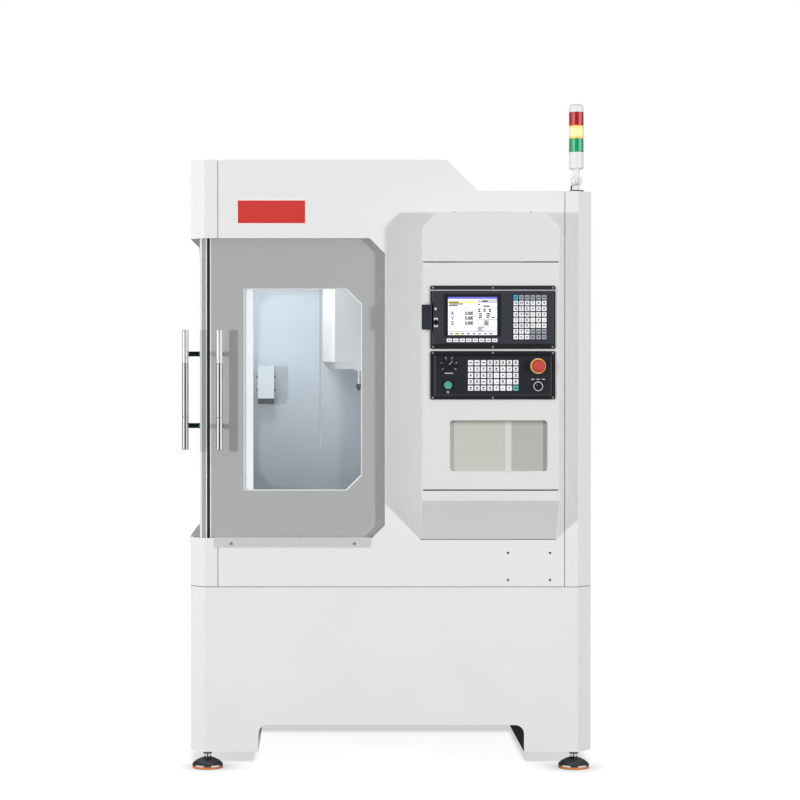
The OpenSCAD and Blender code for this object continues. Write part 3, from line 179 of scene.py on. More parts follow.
plainFinishes = {
    "white_paint": {"colour": linear(233, 233, 233), "grain": 700, "rough": 0.38, "bump": 0.05, "spread": 0.012},
    "console_paint": {"colour": linear(225, 225, 225), "grain": 700, "rough": 0.4, "bump": 0.05, "spread": 0.012},
    "galvanised": {"colour": linear(222, 223, 218), "grain": 160, "rough": 0.46, "bump": 0.05, "metal": 0.25,
                   "spread": 0.08, "patch": 60, "speck": 0.06},
    "polished_steel": {"colour": linear(226, 228, 230), "grain": 90, "rough": 0.16, "bump": 0.02, "metal": 1.0,
                       "stretch": (14, 14, 0.4), "roughSpread": 0.16},
    "box_paint": {"colour": linear(196, 206, 212), "grain": 600, "rough": 0.4, "bump": 0.05, "spread": 0.015},
    "ground_steel": {"colour": linear(190, 192, 194), "grain": 120, "rough": 0.32, "bump": 0.04, "metal": 1.0,
                     "stretch": (1, 12, 12), "roughSpread": 0.2},
    "cast_grey": {"colour": linear(150, 153, 156), "grain": 240, "rough": 0.6, "bump": 0.35, "spread": 0.06},
    "motor_black": {"colour": linear(48, 49, 52), "grain": 300, "rough": 0.5, "bump": 0.15, "spread": 0.1},
    "orange_pad": {"colour": linear(205, 128, 78), "grain": 260, "rough": 0.6, "bump": 0.2, "spread": 0.08},
    "black_rubber": {"colour": linear(30, 30, 31), "grain": 420, "rough": 0.7, "bump": 0.2, "spread": 0.15},
    "slate_plastic": {"colour": linear(44, 46, 56), "grain": 900, "rough": 0.42, "bump": 0.25, "spread": 0.08},
    "yellow_plastic": {"colour": linear(250, 206, 108), "grain": 500, "rough": 0.35, "bump": 0.05, "spread": 0.05},
    "red_plastic": {"colour": linear(194, 72, 66), "grain": 500, "rough": 0.6, "bump": 0.05, "spread": 0.06},
    "green_plastic": {"colour": linear(84, 166, 147), "grain": 500, "rough": 0.32, "bump": 0.05, "spread": 0.06},
    "white_plastic": {"colour": linear(236, 236, 234), "grain": 500, "rough": 0.3, "bump": 0.04, "spread": 0.02},
}
finishes = {name: finish(name, look) for name, look in plainFinishes.items()}
print("plain finishes:", len(finishes))


# door glass: painted grey behind, with a clear window, in along-wall and height coordinates
doorPaint = {
    "colour": linear(173, 176, 175),
    "border": linear(238, 239, 240),
    "tint": linear(226, 232, 234),
    "borderWidth": 0.0026,
    "edgeHighlight": 0.0652,
    "chamfer": 0.048,
    "clear": 0.06,  # how much of the clear glass is seen
    "spread": 0.03,
    "coat": 0.3,
    "wave": 6.0,
    "rough": 0.08,
    "roughSpread": 0.06,
}
windowEdges = {"start": 0.171, "end": 0.539, "low": 0.882, "top": 1.514}


def windowMask(along, height, grow):
    low = windowEdges["low"] - grow
    top = windowEdges["top"] + grow
    end = windowEdges["end"] + grow
    leg = doorPaint["chamfer"]
    mask = along.within(windowEdges["start"] - grow, end) * height.within(low, top)
    mask = mask * ((along + height) < end + top - leg)
    return mask * ((along - height) < end - low - leg)


def doorGlass(name, axis, corner):
    material, sockets, place = startMaterial(name)
    parts = place.axes()
    along = parts[axis] - corner
    height = parts[2]
    clear = windowMask(along, height, 0.0)
    border = windowMask(along, height, doorPaint["borderWidth"]) - clear
    drift = place.node("TexNoise", {}, {"Vector": place, "Scale": 2.0, "Detail": 2.0})
    spread = doorPaint["spread"]
    paint = drift.blend(toned(doorPaint["colour"], 1 - spread), toned(doorPaint["colour"], 1 + spread))
    # painted highlight: the glass's cut edge takes the light border colour
    border = border + (along < doorPaint["edgeHighlight"])
    colour = clear.blend(border.blend(paint, doorPaint["border"]), doorPaint["tint"])
    feed(sockets["Base Color"], colour)
    feed(sockets["Alpha"], 1 - clear * (1 - doorPaint["clear"]))
    wave = unevenGloss(sockets, place, doorPaint)
    feed(sockets["Normal"], place.node("Bump", {}, {"Strength": 0.02, "Distance": 0.001, "Height": wave}))
    sockets["Coat Weight"].default_value = doorPaint["coat"]
    return material


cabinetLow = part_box("base")[0]
finishes["front_glass"] = doorGlass("door_glass", 0, cabinetLow.x)
finishes["side_glass"] = doorGlass("side_door_glass", 1, cabinetLow.y)
print("door glass ready")


# control units: places on them, from the lower left corner of the upper or the lower unit
unitPlaces = {
    "upperHeight": 0.196,
    "keyStep": 0.0016,  # from the front of the key caps back to the face of the units
    "dial": (0.057, 0.1075),
    "start": (0.054, 0.0445),
    "switch": (0.332, 0.041),
    "port": (0.0102, 0.068),
}
unitLow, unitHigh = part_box("control_units")
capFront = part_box("membrane_keys")[0].y
upperUnit = (unitLow.x, unitHigh.z - unitPlaces["upperHeight"])
lowerUnit = (unitLow.x, unitLow.z)


def onUnit(corner, name):
    right, up = unitPlaces[name]
    return corner[0] + right, corner[1] + up


# keys: embossed caps on a dark mat, coloured by their column and row
keyFields = {
    "entry": {"x": 0.256, "z": 0.030, "pitchX": 0.0175, "pitchZ": 0.0175, "keyX": 0.0142, "keyZ": 0.014},
    "operation": {"x": 0.116, "z": 0.0275, "pitchX": 0.0199, "pitchZ": 0.0196, "keyX": 0.0158, "keyZ": 0.0158},
    "soft": {"x": 0.050, "z": 0.0215, "pitchX": 0.020, "pitchZ": 0.020, "keyX": 0.0164, "keyZ": 0.011},
}
keyLook = {
    "white": linear(246, 247, 249),
    "grey": linear(160, 165, 172),
    "cyan": linear(70, 176, 214),
    "teal": linear(96, 188, 182),
    "mat": linear(40, 42, 50),
    "wave": 900.0,
    "rough": 0.35,
    "roughSpread": 0.1,
    "capDepth": 0.0009,
    "entryStart": -0.1,  # in columns
    "greyTop": 7,  # the row from which entry keys are grey
    "greyLow": (3, 2),  # grey from this column on, below this row
    "cyanEnd": 1,  # the column up to which the grey top row is cyan
    "tealCorner": (7, 1),  # teal from this column on, below this row
}


def keyGrid(field, corner, across, height):
    column = (across - corner[0] - field["x"]) / field["pitchX"]
    row = (height - corner[1] - field["z"]) / field["pitchZ"]
    return column, row


def lowCorner(column, row, limits):
    return (row < limits[1]) * (column > limits[0])


def keySheet():
    material, sockets, place = startMaterial("embossed_keys")
    across, depth, height = place.axes()
    cap = depth < capFront + keyLook["capDepth"]
    column, row = keyGrid(keyFields["entry"], upperUnit, across, height)
    entry = (height > upperUnit[1]) * (column > keyLook["entryStart"])
    greyTop = entry * (row > keyLook["greyTop"])
    greyLow = entry * lowCorner(column, row, keyLook["greyLow"])
    cyan = greyTop * (column < keyLook["cyanEnd"])
    colour = greyTop.math("MAXIMUM", greyTop, greyLow).blend(keyLook["white"], keyLook["grey"])
    colour = cyan.blend(colour, keyLook["cyan"])
    column, row = keyGrid(keyFields["operation"], lowerUnit, across, height)
    operation = height < upperUnit[1]
    colour = (operation * lowCorner(column, row, keyLook["tealCorner"])).blend(colour, keyLook["teal"])
    feed(sockets["Base Color"], cap.blend(keyLook["mat"], colour))
    grain = unevenGloss(sockets, place, keyLook)
    feed(sockets["Normal"], place.node("Bump", {}, {"Strength": 0.05, "Distance": 0.0003, "Height": grain}))
    return material


finishes["key_plastic"] = keySheet()


# screen: a lit page with a header, rows of values and a side table
screenPage = {
    "paper": linear(244, 246, 250),
    "header": linear(112, 112, 206),
    "line": linear(240, 234, 130),
    "box": linear(200, 196, 206),
    "side": linear(226, 226, 233),
    "rule": linear(110, 112, 124),
    "glow": 0.3,
    "wave": 20.0,
    "rough": 0.1,
    "roughSpread": 0.1,
}
screenAreas = [  # left, right, low and high edges as parts of the page, and the colour
    (-1, 2, 0.947, 2, "header"),
    (-1, 0.58, 0.835, 0.885, "line"),
    (0.597, 2, 0.835, 0.935, "box"),
    (0.597, 2, 0.1, 0.23, "side"),
    (0.13, 0.245, 0.01, 0.06, "line"),
    (0.597, 2, 0.7, 0.712, "rule"),
    (0.597, 2, 0.398, 0.41, "rule"),
    (0.02, 0.98, 0.08, 0.094, "rule"),
    (0.594, 0.6, 0.23, 0.4, "rule"),
    (0.726, 0.736, 0.23, 0.4, "rule"),
    (0.824, 0.834, 0.23, 0.4, "rule"),
]


def screenPicture():
    material, sockets, place = startMaterial("lit_screen")
    low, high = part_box("screen")
    across, depth, height = place.axes()
    u = (across - low.x) / (high.x - low.x)
    v = (height - low.z) / (high.z - low.z)
    page = screenPage["paper"]
    for left, right, bottom, top, tone in screenAreas:
        page = (u.within(left, right) * v.within(bottom, top)).blend(page, screenPage[tone])
    feed(sockets["Base Color"], page)
    feed(sockets["Emission Color"], page)
    sockets["Emission Strength"].default_value = screenPage["glow"]
    unevenGloss(sockets, place, screenPage)
    return material


finishes["screen_glass"] = screenPicture()


# pane in the console front: a smoked sheet with a lighter strip behind it, darker to the strip's right, and a
# painted shadow along its top edge
paneLook = {
    "sheet": linear(200, 200, 192),
    "strip": linear(216, 217, 212),
    "shade": linear(184, 184, 178),
    "stripStart": 0.57,
    "stripEnd": 0.63,
    "topShade": 0.02,
    "topShadowTone": linear(118, 118, 114),
    "coat": 0.2,
    "wave": 9.0,
    "rough": 0.12,
    "roughSpread": 0.08,
}


def smokedPane():
    material, sockets, place = startMaterial("smoked_pane")
    low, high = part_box("console_pane")
    across, depth, height = place.axes()
    u = (across - low.x) / (high.x - low.x)
    colour = (u > paneLook["stripEnd"]).blend(paneLook["sheet"], paneLook["shade"])
    colour = u.within(paneLook["stripStart"], paneLook["stripEnd"]).blend(colour, paneLook["strip"])
    # painted shadow: the pane darkens towards its top edge, as if shaded by the recess above it
    drop = ((height - high.z + paneLook["topShade"]) / paneLook["topShade"]).clamp()
    colour = drop.blend(colour, paneLook["topShadowTone"])
    feed(sockets["Base Color"], colour)
    unevenGloss(sockets, place, paneLook)
    sockets["Coat Weight"].default_value = paneLook["coat"]
    return material


finishes["smoked_pane"] = smokedPane()
print("keys, screen and pane painted")


# finishes of nodes that carry more than one colour, marked off by place
darkPlastic = linear(26, 27, 30)
whitePlastic = linear(238, 238, 237)
# painted shadow for narrow gaps between parts
gapShadowTone = linear(128, 128, 127)
partGrain = {"patch": 4.0, "spread": 0.06, "roughSpread": 0.08, "depth": 0.0004}


def paintPart(colour, place, sockets, look, rough=None):
    stretched = place.node("Mapping", {}, {"Vector": place, "Scale": look.get("stretch", (1, 1, 1))})
    grain = place.node("TexNoise", {}, {"Vector": stretched, "Scale": look.get("grain", 500.0), "Detail": 2.0})
    drift = place.node("TexNoise", {}, {"Vector": place, "Scale": partGrain["patch"], "Detail": 2.0})
    value = drift * partGrain["spread"] + (1 - partGrain["spread"] / 2)
    feed(sockets["Base Color"], place.node("HueSaturation", {}, {"Color": colour, "Value": value}))
    rough = rough or look["rough"]
    feed(sockets["Roughness"], (grain - 0.5) * partGrain["roughSpread"] + rough)
    bump = {"Strength": look.get("bump", 0.06), "Distance": partGrain["depth"], "Height": grain}
    feed(sockets["Normal"], place.node("Bump", {}, bump))


# door handles: drawn bars with a film left on the upper end, and darker posts
handleLook = {
    "bar": linear(196, 197, 199),
    "barWidth": 0.0213,
    "rough": 0.1,
    "grain": 240.0,
    "stretch": (1, 1, 0.01),  # the grain runs along the bar
    "bump": 0.002,
    "post": linear(70, 100, 92),
    "film": linear(226, 224, 224),
    "filmLength": 0.106,
    "filmRough": 0.24,
    "filmDull": 0.35,  # how much less metal the film lets show
}


def handleSteel(name, node, axis):
    material, sockets, place = startMaterial(name)
    low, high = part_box(node)
    parts = place.axes()
    post = parts[axis] > low[axis] + handleLook["barWidth"]
    film = (parts[2] > high.z - handleLook["filmLength"]) * (1 - post)
    colour = post.blend(film.blend(handleLook["bar"], handleLook["film"]), handleLook["post"])
    rough = film * handleLook["filmRough"] + handleLook["rough"]
    paintPart(colour, place, sockets, handleLook, rough)
    feed(sockets["Metallic"], 1 - film * handleLook["filmDull"])
    return material


finishes["front_handle"] = handleSteel("front_handle_steel", "front_handle", 1)
finishes["side_handle"] = handleSteel("side_handle_steel", "side_handle", 0)


# inner door frames: white, with a grey edge towards the corner of the cabinet
frameLook = {
    "paint": linear(252, 253, 254),
    "edge": linear(166, 169, 168),
    "edgeWidth": 0.003,
    "lipWidth": 0.0028,
    "rough": 0.36,
    "grain": 700.0,
}


def frameEdge(name, node, axis):
    material, sockets, place = startMaterial(name)
    low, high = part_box(node)
    parts = place.axes()
    edge = parts[axis] < low[axis] + frameLook["edgeWidth"]
    lip = parts[1 - axis] > high[1 - axis] - frameLook["lipWidth"]
    colour = edge.blend(frameLook["paint"], lip.blend(frameLook["edge"], frameLook["paint"]))
    paintPart(colour, place, sockets, frameLook)
    return material


finishes["front_frame"] = frameEdge("front_frame_paint", "front_frame", 0)
finishes["side_frame"] = frameEdge("side_frame_paint", "side_frame", 1)


# liner of the work space and the apron behind the head cover
linerLook = {
    "unshaded": linear(186, 197, 206),
    "paintedShade": linear(140, 150, 160),  # painted shade: the lower sheets are darker, as if less light reached them
    "shadeLow": 0.88,
    "shadeHeight": 0.45,
    "rough": 0.42,
}
coverLook = {
    "paint": linear(200, 204, 207),
    "apronDepth": 0.0034,
    "apronLap": 0.015,
    # painted light: a lighter strip on the apron along the slot edge, painted over the shadow the edge casts there
    "strip": linear(211, 219, 225),
    "paintedLightWidth": 0.0052,
    "rough": 0.4,
}


# painted shade: the liner grows darker towards the bottom
def linerTone(height):
    rise = ((height - linerLook["shadeLow"]) / linerLook["shadeHeight"]).clamp()
    return rise.blend(linerLook["paintedShade"], linerLook["unshaded"])


def linerPaint():
    material, sockets, place = startMaterial("liner_paint")
    paintPart(linerTone(place.axes()[2]), place, sockets, linerLook)
    return material


def coverPaint():
    material, sockets, place = startMaterial("head_cover_paint")
    low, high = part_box("head_cover")
    across, depth, height = place.axes()
    slotEdge = low.x + coverLook["apronLap"]
    # painted light over the slot edge's shadow on the apron
    strip = across.within(slotEdge, slotEdge + coverLook["paintedLightWidth"])
    apron = strip.blend(linerTone(height), coverLook["strip"])
    colour = (depth > high.y - coverLook["apronDepth"]).blend(coverLook["paint"], apron)
    paintPart(colour, place, sockets, coverLook)
    return material


finishes["chamber_liner"] = linerPaint()
finishes["head_cover"] = coverPaint()


# console shell: a painted shadow line where the underside meets the wall
shellLook = {"paint": linear(225, 226, 225), "gapShadowWidth": 0.0032, "rough": 0.4, "grain": 700.0, "bump": 0.05}


def shellPaint():
    material, sockets, place = startMaterial("console_shell_paint")
    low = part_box("console_shell")[0]
    gapShadow = place.axes()[2] < low.z + shellLook["gapShadowWidth"]
    paintPart(gapShadow.blend(shellLook["paint"], gapShadowTone), place, sockets, shellLook)
    return material


finishes["console_shell"] = shellPaint()


# levelling feet: chromed, with a dark lock nut under the base
footLook = {
    "chrome": linear(176, 178, 181),
    "nut": linear(60, 61, 63),
    "nutLow": 0.0452,
    "rough": 0.14,
    "grain": 120.0,
    "bump": 0.01,
}


def footChrome():
    material, sockets, place = startMaterial("foot_chrome")
    nut = place.axes()[2] > footLook["nutLow"]
    paintPart(nut.blend(footLook["chrome"], footLook["nut"]), place, sockets, footLook)
    sockets["Metallic"].default_value = 1.0
    return material


finishes["levelling_feet"] = footChrome()


# signal tower: green and red lenses with painted reflection streaks upright round them and a faint painted glow, a
# lit amber one, and the post
lensLook = {
    "green": linear(22, 150, 102),
    "greenSheen": linear(126, 204, 176),
    "red": linear(168, 22, 36),
    "redSheen": linear(216, 112, 114),
    "amber": linear(238, 186, 84),
    "amberCore": linear(253, 236, 170),
    "coreTop": 1.25,
    "coreFall": 1.4,
    "streaks": 7,
    "paintedGlow": 0.05,
    "litGlow": 0.2,
    "coat": 0.5,
    "rough": 0.25,
    "grain": 90.0,
}
postLook = {"gasketTop": 1.8243, "rough": 0.3}  # dark up to the top of the gasket


def finishLens(sockets, colour, glow):
    feed(sockets["Emission Color"], colour)
    sockets["Emission Strength"].default_value = glow
    sockets["Coat Weight"].default_value = lensLook["coat"]


def streakedLens(name, node, colour, ribColour):
    material, sockets, place = startMaterial(name)
    low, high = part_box(node)
    across, depth, height = place.axes()
    turn = place.math("ARCTAN2", across - (low.x + high.x) / 2, (low.y + high.y) / 2 - depth)
    # painted reflection: lighter upright streaks round the lens
    sheen = (place.math("COSINE", turn * lensLook["streaks"] + pi) * 2 - 1).clamp()
    paintPart(sheen.blend(colour, ribColour), place, sockets, lensLook)
    finishLens(sockets, colour, lensLook["paintedGlow"])
    return material


def litLens():  # brightest at half height
    material, sockets, place = startMaterial("lit_lens")
    low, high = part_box("tower_amber")
    height = (place.axes()[2] - low.z) / (high.z - low.z) * 2 - 1
    core = (lensLook["coreTop"] - height * height * lensLook["coreFall"]).clamp()
    colour = core.blend(lensLook["amber"], lensLook["amberCore"])
    paintPart(colour, place, sockets, lensLook)
    finishLens(sockets, colour, lensLook["litGlow"])
    return material


def postPlastic():
    material, sockets, place = startMaterial("tower_post_plastic")
    foot = place.axes()[2] < postLook["gasketTop"]
    paintPart(foot.blend(whitePlastic, darkPlastic), place, sockets, postLook)
    return material


finishes["lamp_amber"] = litLens()
finishes["lamp_green"] = streakedLens("green_lens", "tower_green", lensLook["green"], lensLook["greenSheen"])
finishes["lamp_red"] = streakedLens("red_lens", "tower_red", lensLook["red"], lensLook["redSheen"])
finishes["tower_post"] = postPlastic()


# control units: dark faces, a ring round the key switch, and a painted shade band along the top that ends in a
# painted highlight on the bevel
unitLook = {
    "face": linear(54, 56, 65),
    "lowerFace": linear(35, 37, 44),
    "sides": linear(28, 29, 33),
    "faceDepth": 0.0006,
    "ring": linear(226, 228, 230),
    "ringEdges": (0.0126, 0.0145),  # inner and outer radius
    "ringRise": 0.0005,
    "paintedShadeBand": linear(40, 42, 46),
    "paintedShadeBandWidth": 0.0128,
    # painted highlight where the top bevel catches the light
    "lip": linear(190, 192, 195),
    "highlightHeight": 0.0034,
    "rough": 0.42,
    "grain": 900.0,
    "bump": 0.2,
}


def ringMask(across, height, centre, inner, outer):
    reach = (across - centre[0]) * (across - centre[0]) + (height - centre[1]) * (height - centre[1])
    return reach.within(inner * inner, outer * outer)


def unitPlastic():
    material, sockets, place = startMaterial("unit_plastic")
    across, depth, height = place.axes()
    front = capFront + unitPlaces["keyStep"]
    ring = ringMask(across, height, onUnit(lowerUnit, "switch"), *unitLook["ringEdges"])
    ring = ring * (depth < front - unitLook["ringRise"])
    face = (height < upperUnit[1]).blend(unitLook["face"], unitLook["lowerFace"])
    face = ring.blend(face, unitLook["ring"])
    colour = (depth > front + unitLook["faceDepth"]).blend(face, unitLook["sides"])
    drop = unitHigh.z - height
    paintedShadeBand = unitLook["paintedShadeBandWidth"]
    # painted shade along the top of the units, then the painted highlight
    colour = (drop < paintedShadeBand).blend(colour, unitLook["paintedShadeBand"])
    colour = drop.within(paintedShadeBand, paintedShadeBand + unitLook["highlightHeight"]).blend(colour, unitLook["lip"])
    paintPart(colour, place, sockets, unitLook)
    return material


finishes["control_units"] = unitPlastic()


# memory port: a light frame with a dark middle
portLook = {"frame": linear(226, 228, 232), "middle": (0.007, 0.021), "rough": 0.35}


def portPlastic():
    material, sockets, place = startMaterial("port_plastic")
    across, depth, height = place.axes()
    left, low = onUnit(upperUnit, "port")
    middle = (height - low).within(*portLook["middle"])
    colour = ((across > left) * (1 - middle)).blend(darkPlastic, portLook["frame"])
    paintPart(colour, place, sockets, portLook)
    return material


finishes["usb_socket"] = portPlastic()


# coolant nozzle: a light hose and a dark knob
nozzleLook = {"hose": linear(206, 210, 214), "knobTop": 0.0215, "rough": 0.4}


def nozzleFinish():
    material, sockets, place = startMaterial("nozzle_finish")
    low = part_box("coolant_nozzle")[0]
    knob = place.axes()[2] < low.z + nozzleLook["knobTop"]
    paintPart(knob.blend(nozzleLook["hose"], darkPlastic), place, sockets, nozzleLook)
    return material


finishes["coolant_nozzle"] = nozzleFinish()


# screws: bright on the control units, dark low on the right of the wall
screwLook = {
    "steel": linear(176, 178, 182),
    "bright": linear(206, 208, 212),
    "dark": linear(70, 72, 76),
    "darkTop": 0.695,
    "darkStart": 0.2,
    "unitMargin": 0.01,
    "metal": 0.6,
    "rough": 0.34,
}


def screwFinish():
    material, sockets, place = startMaterial("screw_finish")
    across, depth, height = place.axes()
    wall = (height < screwLook["darkTop"]) * (across > screwLook["darkStart"])
    unit = height.within(lowerUnit[1], unitHigh.z) * (across > unitLow.x - screwLook["unitMargin"])
    colour = wall.blend(unit.blend(screwLook["steel"], screwLook["bright"]), screwLook["dark"])
    paintPart(colour, place, sockets, screwLook)
    sockets["Metallic"].default_value = screwLook["metal"]
    return material


finishes["screws"] = screwFinish()


# base: a painted shadow line at the seam under the cabinet, and a bay whose right inner wall is painted near black
# as shade
baseLook = {
    "paint": linear(233, 233, 233),
    "rough": 0.38,
    "grain": 700.0,
    "bump": 0.05,
    "seamShadowWidth": 0.0024,
    "paintedBayShade": linear(10, 10, 11),
    "bayRough": 0.58,
    "bayWidth": 0.842,
    "bayTop": 0.15,
    "sheet": 0.003,
}


def basePaint():
    material, sockets, place = startMaterial("base_paint")
    across, depth, height = place.axes()
    low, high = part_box("base")
    seamShadow = height > high.z - baseLook["seamShadowWidth"]
    middle = (low.x + high.x) / 2
    # painted shade: the right inner wall of the bay is near black
    paintedBayShade = across.within(middle, middle + baseLook["bayWidth"] / 2) * (height < baseLook["bayTop"])
    paintedBayShade = paintedBayShade * (depth > low.y + baseLook["sheet"])
    colour = seamShadow.blend(paintedBayShade.blend(baseLook["paint"], baseLook["paintedBayShade"]), gapShadowTone)
    paintPart(colour, place, sockets, baseLook, paintedBayShade * baseLook["bayRough"] + baseLook["rough"])
    return material


finishes["base"] = basePaint()


# straight marks across the ends of round pieces
turnedMarks = {
    "override_dial": {"name": "dial_plastic", "turn": 40, "span": (0, 0.03), "depth": 0.0015},
    "key_barrel": {"name": "key_plastic_mark", "turn": -45, "span": (0.001, 0.0075), "depth": 0.0045},
}
markLook = {"half": 0.0009, "rough": 0.42, "grain": 700.0, "bump": 0.1}


def turnedMark(node, look):
    material, sockets, place = startMaterial(look["name"])
    low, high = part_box(node)
    across, depth, height = place.axes()
    right = across - (low.x + high.x) / 2
    up = height - (low.z + high.z) / 2
    turn = radians(look["turn"])
    side = right * cos(turn) - up * sin(turn)
    reach = right * sin(turn) + up * cos(turn)
    mark = side.within(-markLook["half"], markLook["half"]) * reach.within(*look["span"])
    mark = mark * (depth < low.y + look["depth"])
    paintPart(mark.blend(darkPlastic, whitePlastic), place, sockets, markLook)
    return material


for node, look in turnedMarks.items():
    finishes[node] = turnedMark(node, look)
finishes["cover_box"] = finishes["box_paint"]
finishes["console_front"] = finishes["console_paint"]


# every node takes the finish of its slot, some take one of their own
def dressNodes():
    slots = {part["node"]: part["material_slot"] for part in frame["record"]["subparts"]}
    for name, node in frame["nodes"].items():
        material = finishes.get(name) or finishes[slots[name]]
        node.data.materials.clear()
        node.data.materials.append(material)


dressNodes()
print("nodes dressed")


# plain plate on the hood
plate = {
    "low": (-0.4855, 1.7175),
    "high": (-0.2675, 1.7955),
    "thick": 0.0015,
    "edge": 0.0006,
    "rim": 0.0032,
    "colour": linear(208, 58, 50),
    "rimColour": linear(246, 240, 238),
    "rough": 0.4,
}


def deselectAll():
    bpy.ops.object.select_all(action="DESELECT")


def addSlab(name, low, high, edge, body, material):
    deselectAll()
    centre = (Vector(low) + Vector(high)) / 2
    bpy.ops.mesh.primitive_cube_add(size=1, location=centre)
    slab = bpy.context.object
    slab.name = name
    slab.scale = Vector(high) - Vector(low)
    bpy.ops.object.transform_apply(location=True, rotation=True, scale=True)
    bpy.ops.object.mode_set(mode="EDIT")
    bpy.ops.mesh.select_all(action="SELECT")
    bpy.ops.mesh.bevel(offset=edge, segments=2)
    bpy.ops.object.mode_set(mode="OBJECT")
    slab.data.materials.append(material)
    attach(slab, body)


def platePaint(low, high):
    material, sockets, place = startMaterial("hood_plate_paint")
    across, depth, height = place.axes()
    rim = plate["rim"]
    inside = across.within(low[0] + rim, high[0] - rim) * height.within(low[2] + rim, high[2] - rim)
    paintPart(inside.blend(plate["rimColour"], plate["colour"]), place, sockets, plate)
    return material


cabinetHalf = (0.633, 0.6)  # half of the cabinet's width and depth
cabinetCentre = Vector((cabinetLow.x + cabinetHalf[0], cabinetLow.y + cabinetHalf[1], 0))
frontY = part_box("front_panel")[0].y
plateLow = (plate["low"][0] + cabinetCentre.x, frontY - plate["thick"], plate["low"][1])
plateHigh = (plate["high"][0] + cabinetCentre.x, frontY, plate["high"][1])
addSlab("hood_plate", plateLow, plateHigh, plate["edge"], "cabinet", platePaint(plateLow, plateHigh))
print("hood plate made")


# printed marks: letters, bars and small shapes, each group joined into one piece
prints = {
    "lift": 0.00012,  # how far a print stands out
    "bolder": 0.043,  # wider strokes, with every letter still closed
    "corner": 0.08,  # rounding of bars, as a part of their size
    "keyInk": linear(28, 30, 36),
    "screenInk": linear(24, 26, 34),
    "axisInk": linear(70, 70, 196),
    "panelInk": linear(214, 216, 220),
}


def settle(mark, centre, size):
    mark.location = centre
    mark.scale = size
    bpy.ops.object.transform_apply(location=True, rotation=True, scale=True)
    return mark


def makeBlank(corners, tip=0.0):  # one unit wide, high and deep, facing the front
    deselectAll()
    bpy.ops.mesh.primitive_circle_add(vertices=corners, radius=0.5, fill_type="NGON", rotation=(pi / 2, 0, 0))
    blank = bpy.context.object
    bpy.ops.object.transform_apply(location=True, rotation=True, scale=True)
    bpy.ops.object.mode_set(mode="EDIT")
    bpy.ops.mesh.select_all(action="SELECT")
    if corners == 4:
        bpy.ops.transform.rotate(value=pi / 4, orient_axis="Y", center_override=(0, 0, 0))
        bpy.ops.transform.resize(value=(2 ** 0.5, 1, 2 ** 0.5), center_override=(0, 0, 0))
    if tip:
        bpy.ops.object.mode_set(mode="OBJECT")
        for vertex in blank.data.vertices:
            vertex.select = vertex.co.z > 0.49  # the topmost corner
        bpy.ops.object.mode_set(mode="EDIT")
        bpy.ops.transform.translate(value=(0, 0, tip))
        bpy.ops.mesh.select_all(action="SELECT")
    else:
        bpy.ops.mesh.bevel(offset=prints["corner"], segments=2, affect="VERTICES")
    bpy.ops.mesh.extrude_region_move(TRANSFORM_OT_translate={"value": (0, 1, 0)})
    bpy.ops.mesh.select_all(action="SELECT")
    bpy.ops.mesh.normals_make_consistent(inside=False)
    bpy.ops.object.mode_set(mode="OBJECT")
    return blank


def duplicate(source):
    deselectAll()
    made = source.copy()
    made.data = source.data.copy()
    bpy.context.scene.collection.objects.link(made)
    made.select_set(True)
    bpy.context.view_layer.objects.active = made
    return made


def copyBlank(blank, centre, width, height, turn=0.0):
    mark = duplicate(blank)
    mark.rotation_euler = (0, turn, 0)
    return settle(mark, centre, (width, prints["lift"] * 2, height))


def addLetter(text, centre, size, narrow=1.0):
    deselectAll()
    bpy.ops.object.text_add(rotation=(pi / 2, 0, 0))
    letter = bpy.context.object
    letter.data.body = text
    letter.data.size = size
    letter.data.align_x = "CENTER"
    letter.data.align_y = "CENTER"
    letter.data.extrude = prints["lift"]
    letter.data.offset = size * prints["bolder"]
    bpy.ops.object.convert(target="MESH")
    return settle(bpy.context.object, centre + Vector((0, prints["lift"], 0)), (narrow, 1, 1))


def joinMarks(name, marks, body, ink):
    deselectAll()
    for mark in marks:
        mark.select_set(True)
    bpy.context.view_layer.objects.active = marks[0]
    bpy.ops.object.join()
    group = bpy.context.object
    group.name = name
    look = {"colour": ink, "grain": 800, "rough": 0.5, "bump": 0.02, "spread": 0.05}
    group.data.materials.clear()
    group.data.materials.append(finish(name + "_ink", look))
    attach(group, body)
    print(name, "joined from", len(marks), "marks")


def above(place, rise):
    return place + Vector((0, 0, rise))


barBlank = makeBlank(4)
arrowBlank = makeBlank(3)
dropBlank = makeBlank(16, 0.45)


# marks on the keys
keyPrints = {  # width, height and rise as parts of the key
    "bar": (0.56, 0.2, 0.0),
    "block": (0.36, 0.3, 0.12),
    "line": (0.58, 0.12, -0.22),
    "arrow": 0.5,
    "letter": 0.7,
}
keyRows = {  # top row first: # is a word bar, k a block over a bar, < > arrows, the rest are letters
    "entry": ["######", "ONG789", "XYZ456", "UVW123", "IJK-0.", "PQR+/=", "STF###", "####=#"],
    "operation": ["###kkkkk", "123kk<>k", "456k-+-k", "kk#k-k-k", "kkkk+-+#"],
    "soft": ["########"],
}


def keyBar(part, centre, wide, high):
    width, height, rise = keyPrints[part]
    return copyBlank(barBlank, above(centre, high * rise), wide * width, high * height)


def markKey(kind, centre, wide, high):
    if kind == "#":
        return [keyBar("bar", centre, wide, high)]
    if kind == "k":
        return [keyBar("block", centre, wide, high), keyBar("line", centre, wide, high)]
    if kind in "<>":
        size = wide * keyPrints["arrow"]
        return [copyBlank(arrowBlank, centre, size, size, pi / 2 if kind == ">" else -pi / 2)]
    return [addLetter(kind, centre, high * keyPrints["letter"])]


